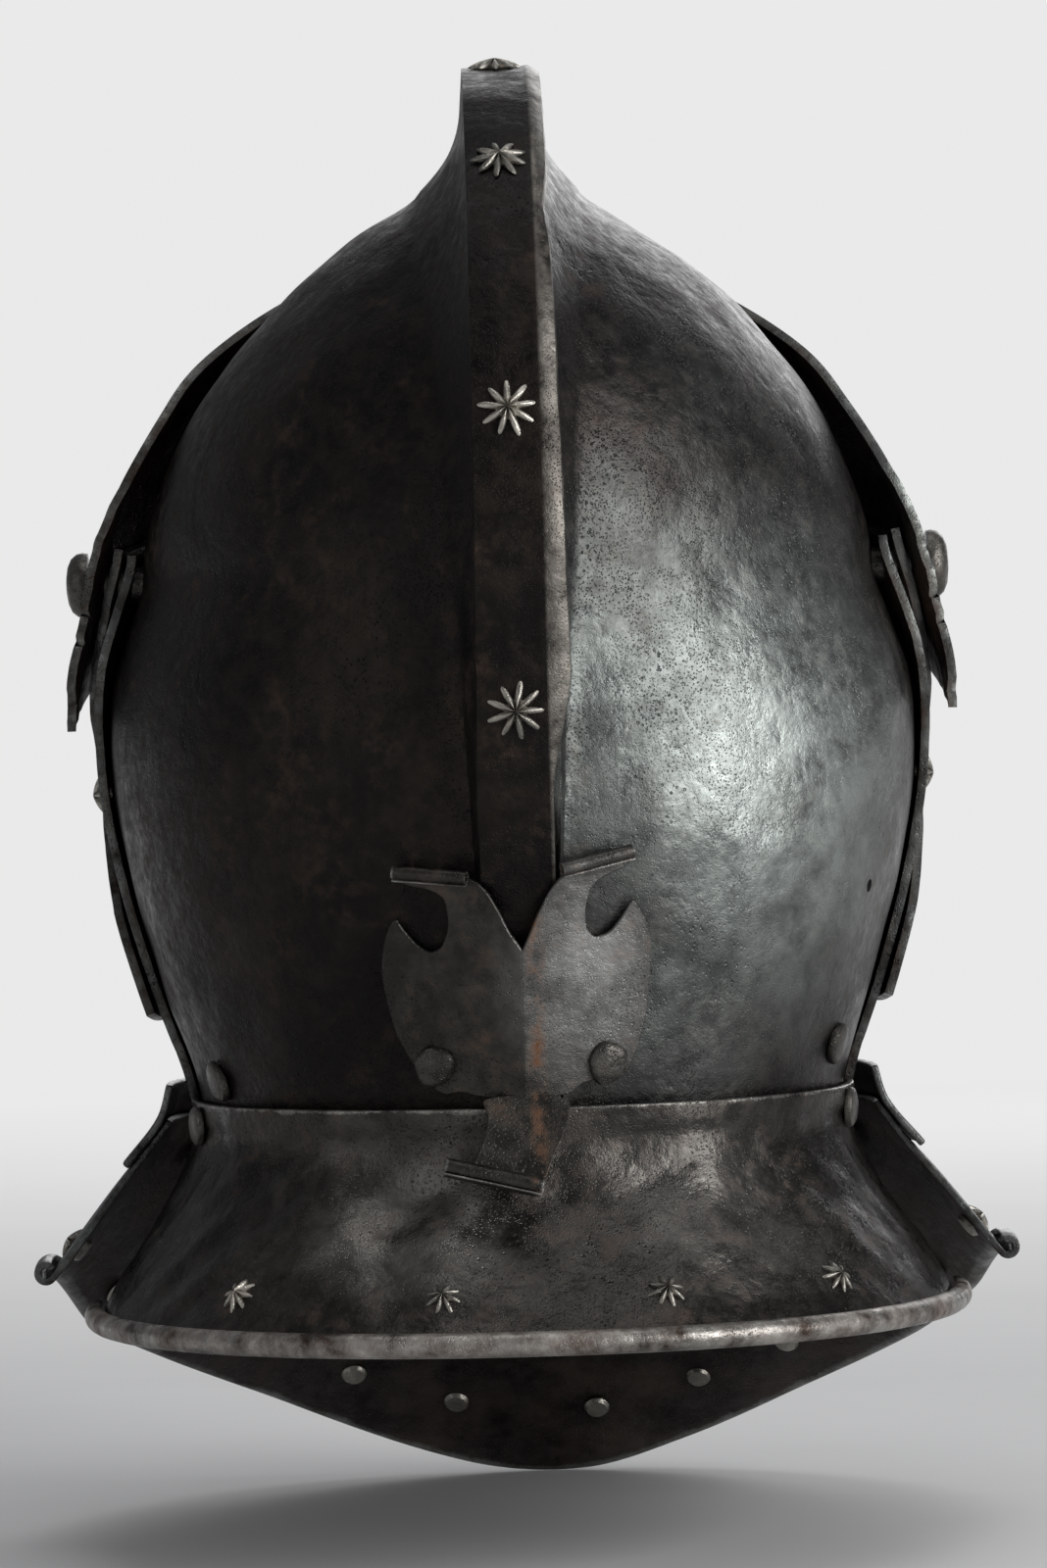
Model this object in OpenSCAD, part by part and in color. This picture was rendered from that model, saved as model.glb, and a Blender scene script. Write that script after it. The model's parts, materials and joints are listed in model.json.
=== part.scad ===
// Close helmet of siege weight, seen with its face towards +Y.
// The origin is the middle of the pivot axis, which runs along X through both side pivots.

/* [Skull] */
// Thickness of the skull plates
skull_t = 3.2; // [2.5:0.1:3.8]
// Half of the width of the flat face of the comb
comb_half = 8.3; // [7.8:0.1:9.5]
// Radius of the comb's apex from the pivot axis
comb_r = 128.5; // [126:0.5:129]
// Height of the neck line below the pivot axis
neck_drop = 141; // [139:0.5:142]

/* [Face plates] */
// Thickness of the visor, the ventail and the bevor
plate_t = 2.2; // [1.8:0.1:2.4]
// Radius of the bevor's keel from the pivot axis
bevor_keel = 147; // [146:0.5:149]
// Step from one face plate to the next one out
nest_step = 3.3; // [3.2:0.1:3.5]
// Height of each sight slit
sight_h = 7; // [6:0.5:9]
// Diameter of a breathing hole
breath_d = 5; // [4:0.5:5.5]

/* [Gorget] */
// Thickness of the gorget plates
gorget_t = 1.8; // [1.5:0.1:2.2]
// Height of the nape plate below the neck line
nape_h = 46.5; // [42:0.5:49]
// Half of the width of the nape plate at its rim
nape_half = 113; // [110:1:116]
// Diameter of the rolled rims
roll_d = 6; // [5:0.2:6.6]
// Drop of the front plate's point below the pivot axis
point_drop = 243; // [236:1:248]

/* [Rivets and pivots] */
// Diameter of the pivot rivets
pivot_d = 9; // [8:0.2:9.4]
// Diameter of the star heads on the comb
star_d = 14; // [12:0.5:15]
// Diameter of the rosette heads on the rims
rosette_d = 9.6; // [8:0.2:11]
// Diameter of the flat rivet heads
flat_d = 10; // [8:0.5:11]

/* [Opening] */
// How far the bevor opens on the skull
bevor_open = 30; // [20:5:35]
// How far the ventail opens on the bevor
ventail_open = 15; // [10:5:20]
// How far the visor opens on the ventail
visor_open = 15; // [10:5:20]

/* [Hidden] */

iron = "#2f2d2c";
worn = "#6f6c66";
bronze = "#8a8172";
shank_r = 1.9;
hole_r = 2;
far = 400;

// Smooth lookup through a list of pairs, in rising order of the first value
function slot_of(t, x, i = 0) = i >= len(t) - 2 || x < t[i + 1][0] ? i : slot_of(t, x, i + 1);
function slope_at(t, i) =
    i <= 0 ? (t[1][1] - t[0][1]) / (t[1][0] - t[0][0]) :
    i >= len(t) - 1 ? (t[i][1] - t[i - 1][1]) / (t[i][0] - t[i - 1][0]) :
    (t[i + 1][1] - t[i - 1][1]) / (t[i + 1][0] - t[i - 1][0]);
function smooth(t, x) =
    let (
        i = slot_of(t, x),
        h = t[i + 1][0] - t[i][0],
        s = max(0, min(1, (x - t[i][0]) / h)),
        a = t[i][1],
        b = t[i + 1][1],
        ma = slope_at(t, i) * h,
        mb = slope_at(t, i + 1) * h
    )
    a * (1 + 2 * s) * (1 - s) * (1 - s) + ma * s * (1 - s) * (1 - s)
    + b * s * s * (3 - 2 * s) - mb * s * s * (1 - s);

// A sheet of metal between two grids of points, rows by columns, with closed edges.
// Columns before the middle one are split the other way, so that both sides of a plate match.
module sheet(outer, inner, middle = 0) {
    rows = len(outer);
    cols = len(outer[0]);
    n = rows * cols;
    points = [for (g = [outer, inner]) for (r = g) for (p = r) p];
    faces = [
        for (i = [0:rows - 2]) for (j = [0:cols - 2])
            let (a = i * cols + j, b = a + 1, c = a + cols, d = c + 1)
            each j < middle
            ? [[a, b, c], [b, d, c], [n + a, n + c, n + b], [n + b, n + c, n + d]]
            : [[a, b, d], [a, d, c], [n + a, n + d, n + b], [n + a, n + c, n + d]],
        for (i = [0:rows - 2])
            let (a = i * cols, c = a + cols, e = a + cols - 1, f = e + cols)
            each [[a, c, n + c], [a, n + c, n + a], [f, e, n + e], [f, n + e, n + f]],
        for (j = [0:cols - 2])
            let (a = j, b = j + 1, c = n - cols + j, d = c + 1)
            each [[b, a, n + a], [b, n + a, n + b], [c, d, n + d], [c, n + d, n + c]]
    ];
    polyhedron(points, faces);
}

function mirrored(g) = [for (r = g) [for (p = r) [-p[0], p[1], p[2]]]];

// Heights below the pivots are drawn for a neck line 141 mm down, and follow the real one
drawn_drop = 141;
function drawn(z) = z < 0 ? z * drawn_drop / neck_drop : z;
function real(z) = z < 0 ? z * neck_drop / drawn_drop : z;
// Skull surfaces: widths by height, outlines of the dome and the comb by angle and by height
width_z = [[-136, 80.3], [-124, 83], [-103, 90], [-78, 97], [-56, 101], [-38, 102], [-27, 101],
    [-14, 97], [0, 92.5], [12, 92.5]];
dome_a = [[0, 108], [30, 107], [47, 104], [65, 99.5], [90, 98], [113, 98.6], [131, 100.5], [147, 103],
    [180, 105]];
comb_a = [[30, 120], [50, 123.5], [70, 127], [90, 128.5], [120, 127], [150, 123.5], [180, 120]];
dome_z = [[-136, 87.5], [-115, 91.5], [-90, 98.5], [-50, 104.5], [0, 105]];
comb_z = [[-136, 89.5], [-115, 93], [-90, 101.5], [-50, 112.5], [0, 120]];
front_z = [[-136, 67], [-100, 82], [-60, 96], [0, 108]];

function comb_out(a) = smooth(comb_a, a) * comb_r / 128.5;
function dome_x(y, z, k) =
    z >= 0
    ? let (
        a = atan2(z, y),
        c = cos(a) * cos(a),
        q = min(1, norm([y, z]) / (smooth(dome_a, max(0, a)) - k))
    )
    (92.5 - k) * pow(1 - pow(q, 1.7 + 0.15 * c), 0.62 - 0.06 * c)
    : let (
        b = (y < 0 ? smooth(dome_z, drawn(z)) : smooth(front_z, drawn(z))) - k,
        q = min(1, abs(y) / b),
        w = min(1, -z / 70)
    )
    (smooth(width_z, drawn(z)) - k) * pow(1 - pow(q, 1.85 + 0.35 * w), 0.56 - 0.1055 * w);
// How far up the comb its sweep into the dome reaches
comb_root = 20;
function comb_x(y, z, k) =
    let (
        r = z >= 0 ? norm([y, z]) : abs(y),
        rc = (z >= 0 ? comb_out(atan2(z, y)) : smooth(comb_z, drawn(z))) - k,
        rd = (z >= 0 ? smooth(dome_a, atan2(z, y)) : smooth(dome_z, drawn(z))) - k,
        e = r < rd ? 1 : max(0, 1 - (r - rd) / comb_root)
    )
    y > 0 && z < 45 || r > rc + 1 ? 0
    : comb_half - k + 0.07 * max(0, rc - r) + 9.5 * min(1, (rc - rd) / 26) * e * e;
function skull_x(y, z, k) = pow(pow(dome_x(y, z, k), 3) + pow(comb_x(y, z, k), 3), 1 / 3);

brow_a = 33;
rear_u = 0.68;
skull_rows = 34;
skull_cols = 13;
function comb_point(u, k) =
    u < rear_u
    ? let (a = brow_a + (180 - brow_a) * u / rear_u, r = comb_out(a) - k) [r * cos(a), r * sin(a)]
    : let (z = -neck_drop * (u - rear_u) / (1 - rear_u)) [k - smooth(comb_z, drawn(z)), z];
edge_z = [[-136, 17], [-100, 23], [-60, 27], [0, 28], [25, 30], [55, 37]];
function edge_point(u) =
    let (z = 52 - (52 + neck_drop) * pow(u, 0.8)) [smooth(edge_z, drawn(z)), z];
// One cut through a skull half, from the front edge up to the comb, at depth d below its face
function skull_row(u, k, d) =
    let (c = comb_point(u, d), e = edge_point(u))
    [for (j = [skull_cols:-1:0])
        let (v = pow(j / skull_cols, 1.35), p = c + (e - c) * v)
        [skull_x(p[0], p[1], k), p[0], p[1]]];
function face_point(u, x, d) = let (c = comb_point(u, d)) [x, c[0], c[1]];
function skull_us() = [for (i = [0:skull_rows]) i / skull_rows];
lap = skull_t + 0.4;
// How far the turned-over edge reaches: in full where the comb stands tall, not at its two ends
function turned(u) =
    let (
        c = comb_point(u, 0),
        rise = c[1] >= 0
            ? norm(c) - smooth(dome_a, atan2(c[1], c[0]))
            : smooth(comb_z, drawn(c[1])) - smooth(dome_z, drawn(c[1]))
    )
    max(0, min(1, (rise - 4) / 7));
// The left half's edge laps over the right half only where the right half lies low enough
function lip(u) = max(0, 2 * turned(u) - 1);
function sunk(u) = min(1, 2 * turned(u));
lip_depth = 5.4;
function flank_x(u) = let (c = comb_point(u, lip_depth)) skull_x(c[0], c[1], 0) - comb_half;
// The edge stands a little further out where it starts to lap over
function lip_bow(w) = 3 * w * (1 - w);
function left_outer() = [for (u = skull_us()) let (w = lip(u), f = flank_x(u), b = lip_bow(w))
    concat(mirrored([skull_row(u, 0, 0)])[0], [
        face_point(u, comb_half, 0),
        face_point(u, comb_half + 0.15 + (f + 2.2) * w, 0.6 + 0.8 * w),
        face_point(u, comb_half + 0.2 + (f + 2.6) * w + b, 2.6 + (lip_depth - 2.6) * w)])];
function left_inner() = [for (u = skull_us()) let (w = lip(u), f = flank_x(u), b = lip_bow(w))
    concat(mirrored([skull_row(u, skull_t, skull_t)])[0], [
        face_point(u, comb_half - 1.4 + 1.4 * w, skull_t),
        face_point(u, comb_half - 0.6 + (f + 1.6) * w + b, skull_t - 0.1 + 0.1 * w),
        face_point(u, comb_half - 0.2 + (f + 1.3) * w + b, 2.9 + (lip_depth - 3) * w)])];
tail_x = 2 - comb_half + skull_t;
// Depth at which the right half's flank ends, under the left half's edge
function right_depth(u) = 0.5 + (lap - 0.5) * sunk(u);
function right_outer() = [for (u = skull_us()) let (d = right_depth(u))
    concat(skull_row(u, 0, d), [
        face_point(u, comb_half + 0.5 - 0.4 * sunk(u), max(d, lap - 0.1)),
        face_point(u, tail_x, lap)])];
function right_inner() = [for (u = skull_us()) let (d = right_depth(u))
    concat(skull_row(u, skull_t, lap + skull_t), [
        face_point(u, comb_half - skull_t, lap + skull_t + 0.05),
        face_point(u, tail_x, lap + skull_t)])];

// Places: pivots, stars on the comb, flat rivets at the skull's lower corners
pivot_hole_r = pivot_d / 2 + 0.1;
star_u = [0.035, 0.148, 0.3, 0.446, 0.603, 0.762];
module pivot_hole() {
    rotate([0, 90, 0]) cylinder(r = pivot_hole_r, h = 2 * far, center = true, $fn = 40);
}
function comb_turn(u) =
    let (a = comb_point(u - 0.01, 0), b = comb_point(u + 0.01, 0)) atan2(b[1] - a[1], b[0] - a[0]);
module at_star(u) {
    p = comb_point(u, 0);
    translate([0, p[0], p[1]]) rotate([comb_turn(u) + 180, 0, 0]) children();
}
module star_holes() { for (u = star_u) at_star(u) hole(); }

// Places on the skull surface, given the side of the head and the point in side view
function skull_normal(y, z) =
    let (
        h = 1.5,
        gy = (skull_x(y + h, z, 0) - skull_x(y - h, z, 0)) / (2 * h),
        gz = (skull_x(y, z + h, 0) - skull_x(y, z - h, 0)) / (2 * h),
        n = [1, -gy, -gz]
    ) n / norm(n);
module aim(p, n) {
    translate(p) rotate([0, acos(n[2]), atan2(n[1], n[0])]) children();
}
module on_skull(side, y, z) {
    n = skull_normal(y, z);
    aim([side * skull_x(y, z, 0), y, z], [side * n[0], n[1], n[2]]) children();
}
join_angles = [-17, -163];
// Side, height and place fore and aft of the two flat rivets above the neck line
corner_rivets = [[1, -41, 21 - neck_drop], [-1, -43, 16 - neck_drop]];
module join_spots() { for (a = join_angles) on_collar(nape_at, 0.1, a) children(); }
module corner_spots() { for (q = corner_rivets) on_skull(q[0], q[1], q[2]) children(); }
module hole(r = hole_r) { cylinder(r = r, h = 32, center = true, $fn = 24); }

// Plume holder: a creased sheet, its wings folded back from the crease
holder_t = 1.2;
wing_turn = 18;
holder_tilt = 14.5;
holder_rivets = [[-1, 22.5], [1, 20.5]];
holder_rivet_z = -122;
holder_foot = -129;
right_wing = [[0, -91.8], [1.5, -89], [3.8, -84], [7, -78], [11, -74], [28, -71], [28, -73.5], [18, -77],
    [16, -82.5], [16, -88], [18, -91], [22, -90], [26, -85.5], [28, -82], [31, -87], [32.5, -93],
    [32, -102], [31, -110.5], [29, -118], [25, -127], [17.5, -126], [14, -126.6], [11, -129], [0, -129]];
left_wing = [[0, -91.8], [3, -87.8], [5, -83.6], [8, -78.3], [11, -75.5], [15, -74.5], [31.5, -74.5],
    [31.5, -77], [19, -79], [18, -87], [20, -92.5], [23, -94], [26.5, -92], [29.5, -88.5], [31.5, -85.5],
    [34, -89.7], [35.5, -98.6], [34, -107.5], [32, -115], [27.5, -123], [21, -129.5], [16, -128],
    [12, -129], [0, -129]];
tongue = [[-11, 1], [11, 1], [9, -9], [6, -15], [3.5, -22], [-14, -17.5], [-10.5, -11], [-9, -4]];
holder_seat = 92;
holder_grip = 10;
crease_y = -(holder_seat + 20 * tan(wing_turn));
module at_crease() {
    translate([0, crease_y, holder_rivet_z + drawn_drop - neck_drop]) rotate([holder_tilt, 0, 0])
    translate([0, 0, -holder_rivet_z]) children();
}
module at_wing(side) { at_crease() rotate([0, 0, side * wing_turn]) children(); }
module slab(outline, side) {
    rotate([90, 0, 0]) linear_extrude(height = holder_t, center = true)
    polygon([for (q = outline) [side * q[0], q[1]]]);
}
module roll(x0, z0, x1, z1, r) {
    w = norm([x1 - x0, z1 - z0]);
    translate([x0, 0, z0]) rotate([0, 90 - atan2(z1 - z0, x1 - x0), 0]) difference() {
        cylinder(r = r, h = w, $fn = 32);
        translate([0, 0, -1]) cylinder(r = r - holder_t, h = w + 2, $fn = 32);
    }
}
module at_tongue() {
    at_crease() translate([0, 0, holder_foot]) rotate([-holder_tilt - 24, 0, 0]) children();
}
module holder_rivet_spots() {
    for (q = holder_rivets)
        at_wing(q[0]) translate([q[0] * q[1], 0, holder_rivet_z]) rotate([90, 0, 0]) children();
}
module holder_holes() { holder_rivet_spots() hole(); }
module plume_holder() {
    color(iron) difference() {
        union() {
            at_wing(1) {
                slab(right_wing, 1);
                translate([0, -1.2, 0]) roll(10, -73, 28, -70.4, 2.1);
            }
            at_wing(-1) {
                slab(left_wing, -1);
                translate([0, -1.2, 0]) roll(-31.5, -74.5, -13, -74.8, 2.1);
            }
            at_crease() translate([0, 0, holder_foot]) cylinder(r = holder_t / 2, h = 37, $fn = 24);
            at_tongue() {
                slab(tongue, 1);
                translate([0, -1.6, 0]) roll(-19.5, -17, 3.5, -23, 2.7);
            }
        }
        holder_holes();
    }
}
module flat_head(d = flat_d) {
    rotate_extrude($fn = 40) polygon([[0, 0], [d / 2, 0], [d / 2, 1], [d / 2 - 0.8, 1.9], [0, 2.2]]);
}
module burr(d = 7) { rotate_extrude($fn = 32) polygon([[0, 0], [d / 2, 0], [d / 2 - 0.6, 0.9], [0, 1.3]]); }
// A rivet with its head's seat at the origin and its burr below, beyond a grip of the given length
module rivet(grip, seat) {
    translate([0, 0, seat]) children();
    translate([0, 0, -grip - 1]) cylinder(r = shank_r, h = grip + 1 + seat + 0.2, $fn = 24);
    translate([0, 0, -grip]) rotate([180, 0, 0]) burr();
}
module plume_holder_rivets() {
    color(worn) holder_rivet_spots() rivet(holder_grip, holder_t / 2 + 0.1) flat_head();
}
module star_head(d, n) {
    difference() {
        rotate_extrude($fn = 48) polygon([[0, 0], [d / 2, 0], [d / 2, 0.5], [d * 0.28, 1.9], [0, 2.3]]);
        for (i = [0:n - 1]) rotate([0, 0, (i + 0.5) * 360 / n]) translate([d * 0.3, 0, -1])
            linear_extrude(height = 5) polygon([[0, 0], [d / 2, d * 0.2], [d / 2, -d * 0.2]]);
    }
}
module comb_star_rivets() {
    color(bronze) for (u = star_u) at_star(u) rivet(2 * skull_t + 0.7, 0.05) star_head(star_d, 9);
}

module skull_left() {
    color(iron) difference() {
        sheet(left_outer(), left_inner());
        pivot_hole();
        star_holes();
        join_spots() hole();
        corner_spots() hole();
        holder_holes();
    }
}
module skull_right() {
    color(iron) difference() {
        sheet(right_inner(), right_outer());
        pivot_hole();
        star_holes();
        join_spots() hole();
        corner_spots() hole();
        holder_holes();
        on_skull(1, -49, -81) hole(1.6);
    }
}

// Face plates: each one clears all that the skull passes under it while it turns about the pivots
function swept_x(y, z, turn) =
    let (r = norm([y, z]), a = atan2(z, y))
    max([for (i = [0:4]) let (b = a + turn * i / 4) skull_x(r * cos(b), r * sin(b), 0)]);
function eased(s) = let (t = max(0, min(1, s))) t * t * (3 - 2 * t);
// The face's prow: full low down, slimmer above the pivots
function prow_x(r, keel, a) =
    let (q = min(1, r / keel), s = eased((a - 8) / 30)) 92 * pow(1 - pow(q, 2.2 - 0.5 * s), 0.8 + 0.1 * s);
function larger(a, b) = (a + b + sqrt((a - b) * (a - b) + 12)) / 2;
skull_gap = 1.1;
// A plate's place in the nest: its order, its sweep, its keel by angle
bevor_plan = [0, bevor_open, [[-90, bevor_keel], [0, bevor_keel]]];
ventail_plan = [1, bevor_open + ventail_open, [[-90, bevor_keel], [20, bevor_keel]]];
visor_plan = [2, bevor_open + ventail_open + visor_open,
    [[-20, bevor_keel], [12, bevor_keel], [28, comb_r + 13.5], [45, comb_r + 3.5], [60, comb_r + 3.5]]];
keel_miter = 1.25;
// Where the bevor's keel ends under the chin
chin_a = 62;
chin_y = bevor_keel * cos(chin_a);
// A plate's offset in the nest. Above the ears of the plates below it, the visor closes in on the skull.
visor_seat = 0.8;
ear_top = 15;
ear_fall = 17;
function base_of(plan) = plan[0] * nest_step;
function offset_at(plan, z) =
    base_of(plan) - (plan[0] == 2 ? (base_of(plan) - visor_seat) * eased((z - ear_top) / ear_fall) : 0);
function keel_at(plan, y, z) = smooth(plan[2], atan2(z, y));
function plate_x(plan, y, z) =
    let (w = drawn(z))
    larger(swept_x(y, z, plan[1]) + skull_gap, prow_x(norm([y, w]), keel_at(plan, y, w), atan2(w, y)));
function plate_normal(plan, y, z) =
    let (
        h = 0.8,
        gy = (plate_x(plan, y + h, z) - plate_x(plan, y - h, z)) / (2 * h),
        gz = (plate_x(plan, y, z + h) - plate_x(plan, y, z - h)) / (2 * h),
        n = [1, -gy, -gz]
    ) n / norm(n);
function plate_point(plan, y, z, d) =
    [plate_x(plan, y, z), y, z] + (offset_at(plan, z) + d) * plate_normal(plan, y, z);
function polar(r, a) = [r * cos(a), r * sin(a)];
function keel_point(plan, a, k) = polar(smooth(plan[2], a) - k, a);
function lowered(q) = [q[0], real(q[1])];
// A smooth path through hand-placed points, s from 0 to 1
function path(p, s) = [for (k = [0, 1]) smooth([for (i = [0:len(p) - 1]) [i / (len(p) - 1), p[i][k]]], s)];
// A point of the side view between four edges: keel, rear, lower and upper
function patch(plan, keel, rear, low, high, u, v) =
    let (
        k = keel_point(plan, keel[0] + (keel[1] - keel[0]) * v, 0),
        k0 = keel_point(plan, keel[0], 0),
        k1 = keel_point(plan, keel[1], 0),
        l = path(concat([k0], low, [rear[0]]), u),
        h = path(concat([k1], high, [rear[len(rear) - 1]]), u),
        r = path(rear, v),
        r0 = rear[0],
        r1 = rear[len(rear) - 1]
    )
    (1 - v) * l + v * h + (1 - u) * k + u * r
    - (1 - u) * (1 - v) * k0 - u * (1 - v) * r0 - (1 - u) * v * k1 - u * v * r1;
plate_cols = 15;
plate_rows = 11;
function plate_grid(plan, keel, rear, low, high, t) =
    [for (i = [0:plate_rows]) [for (j = [-plate_cols:plate_cols])
        let (
            u = pow(abs(j) / plate_cols, 1.4),
            v = i / plate_rows,
            q = lowered(patch(plan, keel, rear, low, high, u, v)),
            side = j < 0 ? -1 : 1
        )
        j == 0
        ? let (
            rise = keel_miter * (offset_at(plan, q[1]) + t),
            k = lowered(keel_point(plan, keel[0] + (keel[1] - keel[0]) * v, -rise))
        )
        [0, k[0], k[1]]
        : let (p = plate_point(plan, q[0], q[1], t)) [side * p[0], p[1], p[2]]]];
module face_plate(plan, keel, rear, low, high) {
    difference() {
        sheet(plate_grid(plan, keel, rear, low, high, plate_t),
            plate_grid(plan, keel, rear, low, high, 0), plate_cols);
        pivot_hole();
        children();
    }
}
module on_plate(plan, side, y, z) {
    n = plate_normal(plan, y, z);
    p = plate_point(plan, y, z, plate_t);
    aim([side * p[0], p[1], p[2]], [side * n[0], n[1], n[2]]) children();
}

module bevor() {
    color(iron) face_plate(bevor_plan, [-chin_a, -12],
        [[4, -137], [-4, -100], [-9, -60], [-13, -20], [-10, 12]],
        [[50, -136], [27, -137]],
        [[110, -16], [60, 2], [20, 12]]) {
        bevor_rosette_spots() hole();
        lame_rivet_spots() hole();
    }
}
ventail_pegs = [[1, 118, -42]];
module ventail() {
    color(iron) face_plate(ventail_plan, [-38, 7],
        [[-6, -108], [-5, -88], [13, -68], [20, -48], [8, -30], [-8, -14], [-11, 12]],
        [[92, -100], [50, -106], [20, -110]],
        [[110, 16], [60, 15], [18, 14]]) {
        breaths();
        for (q = ventail_pegs) on_plate(ventail_plan, q[0], q[1], q[2]) hole();
    }
}
visor_pegs = [[1, 104, 6]];
sight_z = 24;
sight_w = 36;
module visor() {
    color(iron) face_plate(visor_plan, [-3, 45],
        [[-19, -37], [-16, -14], [-15, 8], [-11, 34]],
        [[100, -12], [50, -16], [8, -30]],
        [[72, 84], [42, 74], [8, 54]]) {
        sights();
        for (q = visor_pegs) on_plate(visor_plan, q[0], q[1], q[2]) hole();
    }
}
module sights() {
    for (side = [-1, 1]) translate([side * 31, 130, sight_z]) rotate([0, side * 4, 0])
        cube([sight_w, 120, sight_h], center = true);
}
module breaths() {
    for (side = [-1, 1]) for (i = [0:2]) for (k = [0:2])
        on_plate(ventail_plan, side, 126 - 13 * k - 4 * i, -14 - 15 * i) hole(breath_d / 2);
}

// Small fittings on the plates
module bevor_rosette_spots() {
    for (side = [-1, 1]) on_plate(bevor_plan, side, 1, -53) children();
}
module bevor_rosette_rivets() {
    color(bronze) bevor_rosette_spots() {
        translate([0, 0, 0.15]) star_head(rosette_d, 8);
        translate([0, 0, -plate_t - 0.3]) cylinder(r = shank_r, h = plate_t + 0.6, $fn = 24);
    }
}
module peg(h) {
    translate([0, 0, 0.2]) rotate_extrude($fn = 32)
        polygon([[0, 0], [5, 0], [5, 1.2], [2, 2.4], [2, h - 4], [3.4, h - 2.6], [3.4, h - 1],
            [2, h], [0, h]]);
    translate([0, 0, -plate_t - 0.2]) cylinder(r = shank_r, h = plate_t + 0.6, $fn = 24);
}
module visor_peg() { color(worn) for (q = visor_pegs) on_plate(visor_plan, q[0], q[1], q[2]) peg(15); }
module ventail_peg() { color(worn) for (q = ventail_pegs) on_plate(ventail_plan, q[0], q[1], q[2]) peg(11); }

// Pivots: a shank through the skull and the three face plates, a domed head and a burr
function pivot_face() = plate_point(visor_plan, 0, 0, plate_t)[0] + 3.6;
module pivot_rivet(side) {
    face = pivot_face();
    color(bronze) rotate([0, side * 90, 0]) {
        translate([0, 0, face]) rotate_extrude($fn = 48)
            polygon([[0, 0], [8.5, 0], [8.5, 1.6], [7.2, 3.9], [4.4, 5.2], [0, 5.6]]);
        translate([0, 0, 84]) cylinder(r = pivot_d / 2, h = face - 83.9, $fn = 48);
    }
}
module pivot_burr(side) {
    color(worn) rotate([0, side * 90, 0]) translate([0, 0, 84.6]) difference() {
        cylinder(r = 9, h = 2.4, $fn = 48);
        translate([0, 0, -1]) cylinder(r = pivot_hole_r, h = 5, $fn = 48);
    }
}

// Collars: each ring of a gorget plate is a superellipse, wide at the sides and long fore and aft
function ring(w, b, a) =
    let (c = cos(a), s = sin(a)) [w * sign(c) * pow(abs(c), 0.909), b * sign(s) * pow(abs(s), 0.909)];
nape_side = [[0, 83.8], [0.2, 83.7], [0.45, 90], [0.72, 100], [1, nape_half - 4.5]];
nape_rear = [[0, 92.8], [0.2, 92.4], [0.45, 98], [0.72, 108.5], [1, 122]];
nape_top = 10;
nape_at = function(h, a)
    let (p = ring(smooth(nape_side, h), smooth(nape_rear, h), a))
    [p[0], p[1], nape_top - neck_drop - (nape_h + nape_top - 2) * h];
front_side = [[0, 90.5], [0.25, 98], [0.5, 106], [1, 121]];
front_fore = [[0, chin_y + 8], [0.25, chin_y + 17], [0.5, chin_y + 35], [1, chin_y + 77]];
front_level = 5 - neck_drop;
end_level = -33 - neck_drop;
// Height of the front plate's lower edge from left to right, as a share of its drop
front_edge = [[-1, 0], [-0.93, 0.28], [-0.54, 0.68], [-0.14, 0.96], [0.13, 1], [0.36, 0.88], [0.58, 0.7],
    [0.85, 0.42], [0.96, 0.2], [1, 0]];
front_at = function(h, a)
    let (
        p = ring(smooth(front_side, h), smooth(front_fore, h), a),
        q = ring(1, 1, a),
        low = end_level - (point_drop + end_level) * smooth(front_edge, q[0])
    )
    [p[0], p[1], front_level + (low - front_level) * h];
lame_side = [[0, 90.4], [0.45, 93.3], [1, 102.2]];
lame_fore = [[0, chin_y + 17], [0.4, chin_y + 12.5], [1, chin_y + 18]];
lame_level = 14 - neck_drop;
lame_h = 20;
lame_at = function(h, a)
    let (p = ring(smooth(lame_side, h), smooth(lame_fore, h), a)) [p[0], p[1], lame_level - lame_h * h];
function unit(v) = v / norm(v);
function down_of(f, h, a) = let (g = min(h, 0.98)) unit(f(g + 0.02, a) - f(g, a));
function out_of(f, h, a) = unit(cross(f(h, a + 1) - f(h, a - 1), down_of(f, h, a)));
function outward(f, h, a) = let (n = out_of(f, h, a), p = f(h, a)) n[0] * p[0] + n[1] * p[1] < 0 ? -n : n;
// A collar's point at row i: down the flare, then round the roll at its lower edge
function collar_point(f, i, flare, curl, a, k, t) =
    i <= flare
    ? f(i / flare, a) - k * outward(f, i / flare, a)
    : let (
        n = outward(f, 1, a),
        d = down_of(f, 1, a),
        turn = 265 * (i - flare) / curl,
        r = roll_d / 2 - t + k
    )
    f(1, a) + (roll_d / 2 - t) * n + r * (sin(turn) * d - cos(turn) * n);
module collar(f, from, to, cols, flare, curl, t) {
    a = [for (k = [0, t]) [for (i = [0:flare + curl])
        [for (j = [0:cols]) collar_point(f, i, flare, curl, from + (to - from) * j / cols, k, t)]]];
    if (to > from) sheet(a[0], a[1]); else sheet(a[1], a[0]);
}
module on_collar(f, h, a) { aim(f(h, a), outward(f, h, a)) children(); }

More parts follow.
